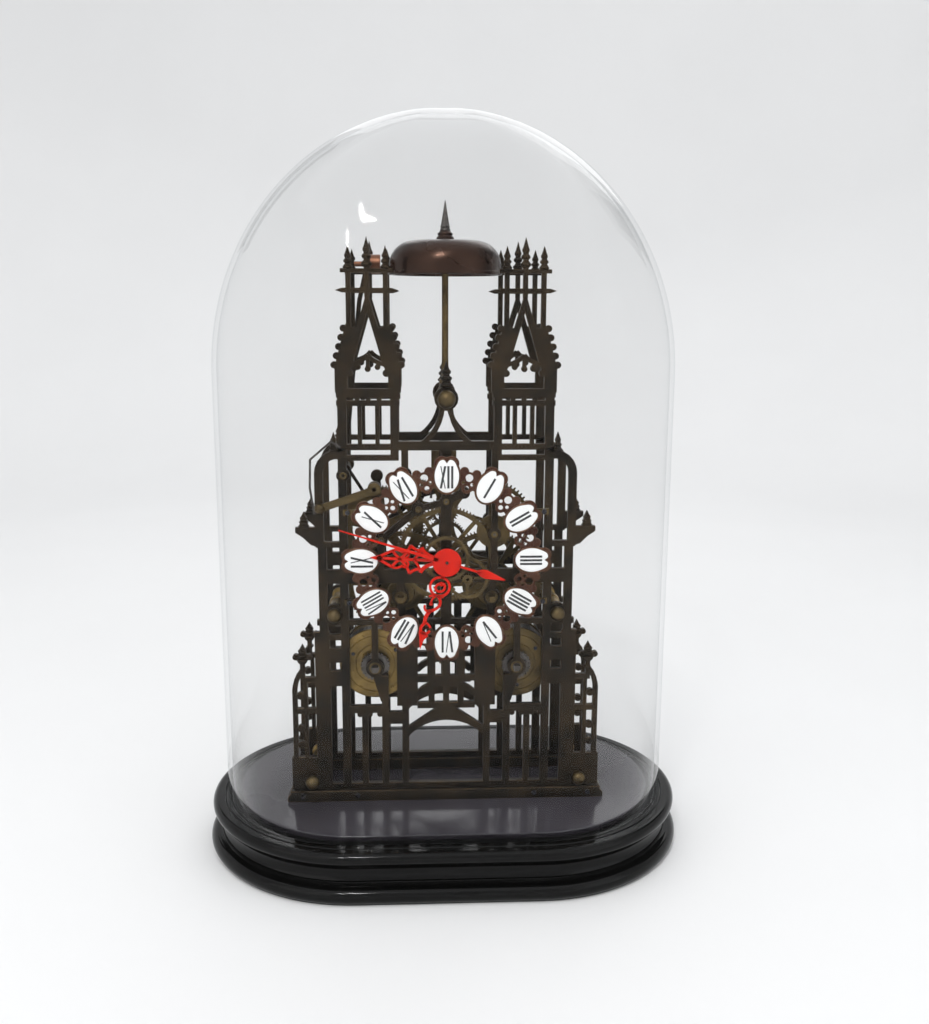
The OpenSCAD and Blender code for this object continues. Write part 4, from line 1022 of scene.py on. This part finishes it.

# ---- Screws ----
# Blued steel cheese-head screws hold the dial feet, the sills and the barrel covers. Each head has
# a filed slot at its own angle.
blued = Finish("blued_steel", Metallic=1.0)
blued.patina(200, 4, 0.55, 0.35, 0.7, (0.030, 0.034, 0.050), (0.060, 0.054, 0.050))
blued.polish(260, 4, 0.55, 0.2, 0.4, high=0.7)
screw_tree, entry, leave = open_tree(
    "screw_heads", {"Head Radius": 0.0016, "Head Height": 0.001, "Slot Width": 0.0005})
radius, height, slot_width = (
    entry.outputs[t] for t in ("Head Radius", "Head Height", "Slot Width"))
head = add(screw_tree, "GeometryNodeMeshCylinder", Vertices=24, Radius=radius, Depth=height)
groove = add(screw_tree, "GeometryNodeMeshCube",
             Size=sized(screw_tree, fraction(screw_tree, radius, 3.0), slot_width, height))
lifted = add(screw_tree, "GeometryNodeTransform", Geometry=groove.outputs["Mesh"],
             Translation=sized(screw_tree, 0.0, 0.0, fraction(screw_tree, height, 0.55)))
cut = add(screw_tree, "GeometryNodeMeshBoolean", {"operation": "DIFFERENCE"})
screw_tree.links.new(head.outputs["Mesh"], cut.inputs["Mesh 1"])
screw_tree.links.new(lifted.outputs["Geometry"], cut.inputs["Mesh 2"])
set_along(screw_tree, entry, leave, cut.outputs["Mesh"], blued)


def screw_station(x, y, z, facing, slot_angle):
    a = math.radians(slot_angle)
    return ((x, y, z), pose_of((math.cos(a), 0, math.sin(a)), facing))


FRONT, REAR = (0, -1, 0), (0, 1, 0)
FOOT_CIRCLE, FOOT_OFFSET, FOOT_SCREW_PLANE = 62.3, 12, -36.4
SILL_FRONT, SILL_BACK, SILL_MIDDLE = -38.4, 24.9, 43.4
SCREW = {"Head Radius": 1.7, "Head Height": 1.0, "Slot Width": 0.5}
stations = []
for k, angle in enumerate((30, 150, 210, 330)):
    a = math.radians(angle)
    across = FOOT_CIRCLE * math.cos(a) + math.copysign(FOOT_OFFSET, math.cos(a))
    stations.append(screw_station(across, FOOT_SCREW_PLANE,
                                  DIAL_CENTRE[1] + FOOT_CIRCLE * math.sin(a), FRONT, 25 + 67 * k))
for k, x in enumerate((-100, -62, 62, 100)):
    stations += [screw_station(x, SILL_FRONT, SILL_MIDDLE, FRONT, 40 + 51 * k),
                 screw_station(x, SILL_BACK, SILL_MIDDLE, REAR, 15 + 73 * k)]
screws = grown("frame_screws", stations, screw_tree, SCREW)
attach(screws, "frame")
COVER_SCREW = {"Head Radius": 1.3, "Head Height": 0.7, "Slot Width": 0.4}
COVER_CIRCLE, COVER_PLANE = 17, -24.1
for train, centre in BARRELS.items():
    stations = []
    for k in range(3):
        a = math.radians(35 + 120 * k)
        x, z = (c + COVER_CIRCLE * turn(a) for c, turn in zip(centre, (math.cos, math.sin)))
        stations.append(screw_station(x, COVER_PLANE, z, FRONT, 20 + 47 * k))
    screws = grown(train + "_cover_screws", stations, screw_tree, COVER_SCREW)
    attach(screws, train + "_barrel")

# ---- Wheels and arbors ----
# Crossed-out brass wheels on steel arbors with cut pinions. They are cut to
# shape already, so they only take their tarnish here.
surfaced(["centre_wheel", "cannon_pinion", "third_wheel", "seconds_wheel", "escape_wheel",
          "minute_wheel", "hour_wheel", "pin_wheel", "locking_wheel", "fly", "crutch",
          "pendulum_bob", "rating_nut"], dull_brass)
surfaced(["centre_arbor", "third_arbor", "seconds_arbor", "escape_arbor", "pallets", "pin_arbor",
          "pendulum_rod", "lever_spring"], steel)

# ---- Hammer and repeating lever ----
# A forged arm swings a copper-faced head up to the bell's lip. A brass lever
# with a ball at its end lets the last hour be struck again.
copper = Finish("copper_face", Metallic=1.0)
copper.patina(110, 5, 0.7, 0.35, 0.7, (0.24, 0.115, 0.070), (0.10, 0.046, 0.030))
copper.polish(160, 4, 0.55, 0.28, 0.5, high=0.7)
copper.bump(copper.noise(500, 2), 0.1)
surfaced(["hammer_head"], copper)
surfaced(["hammer_arm"], bronze)
surfaced(["repeat_lever"], dull_brass)
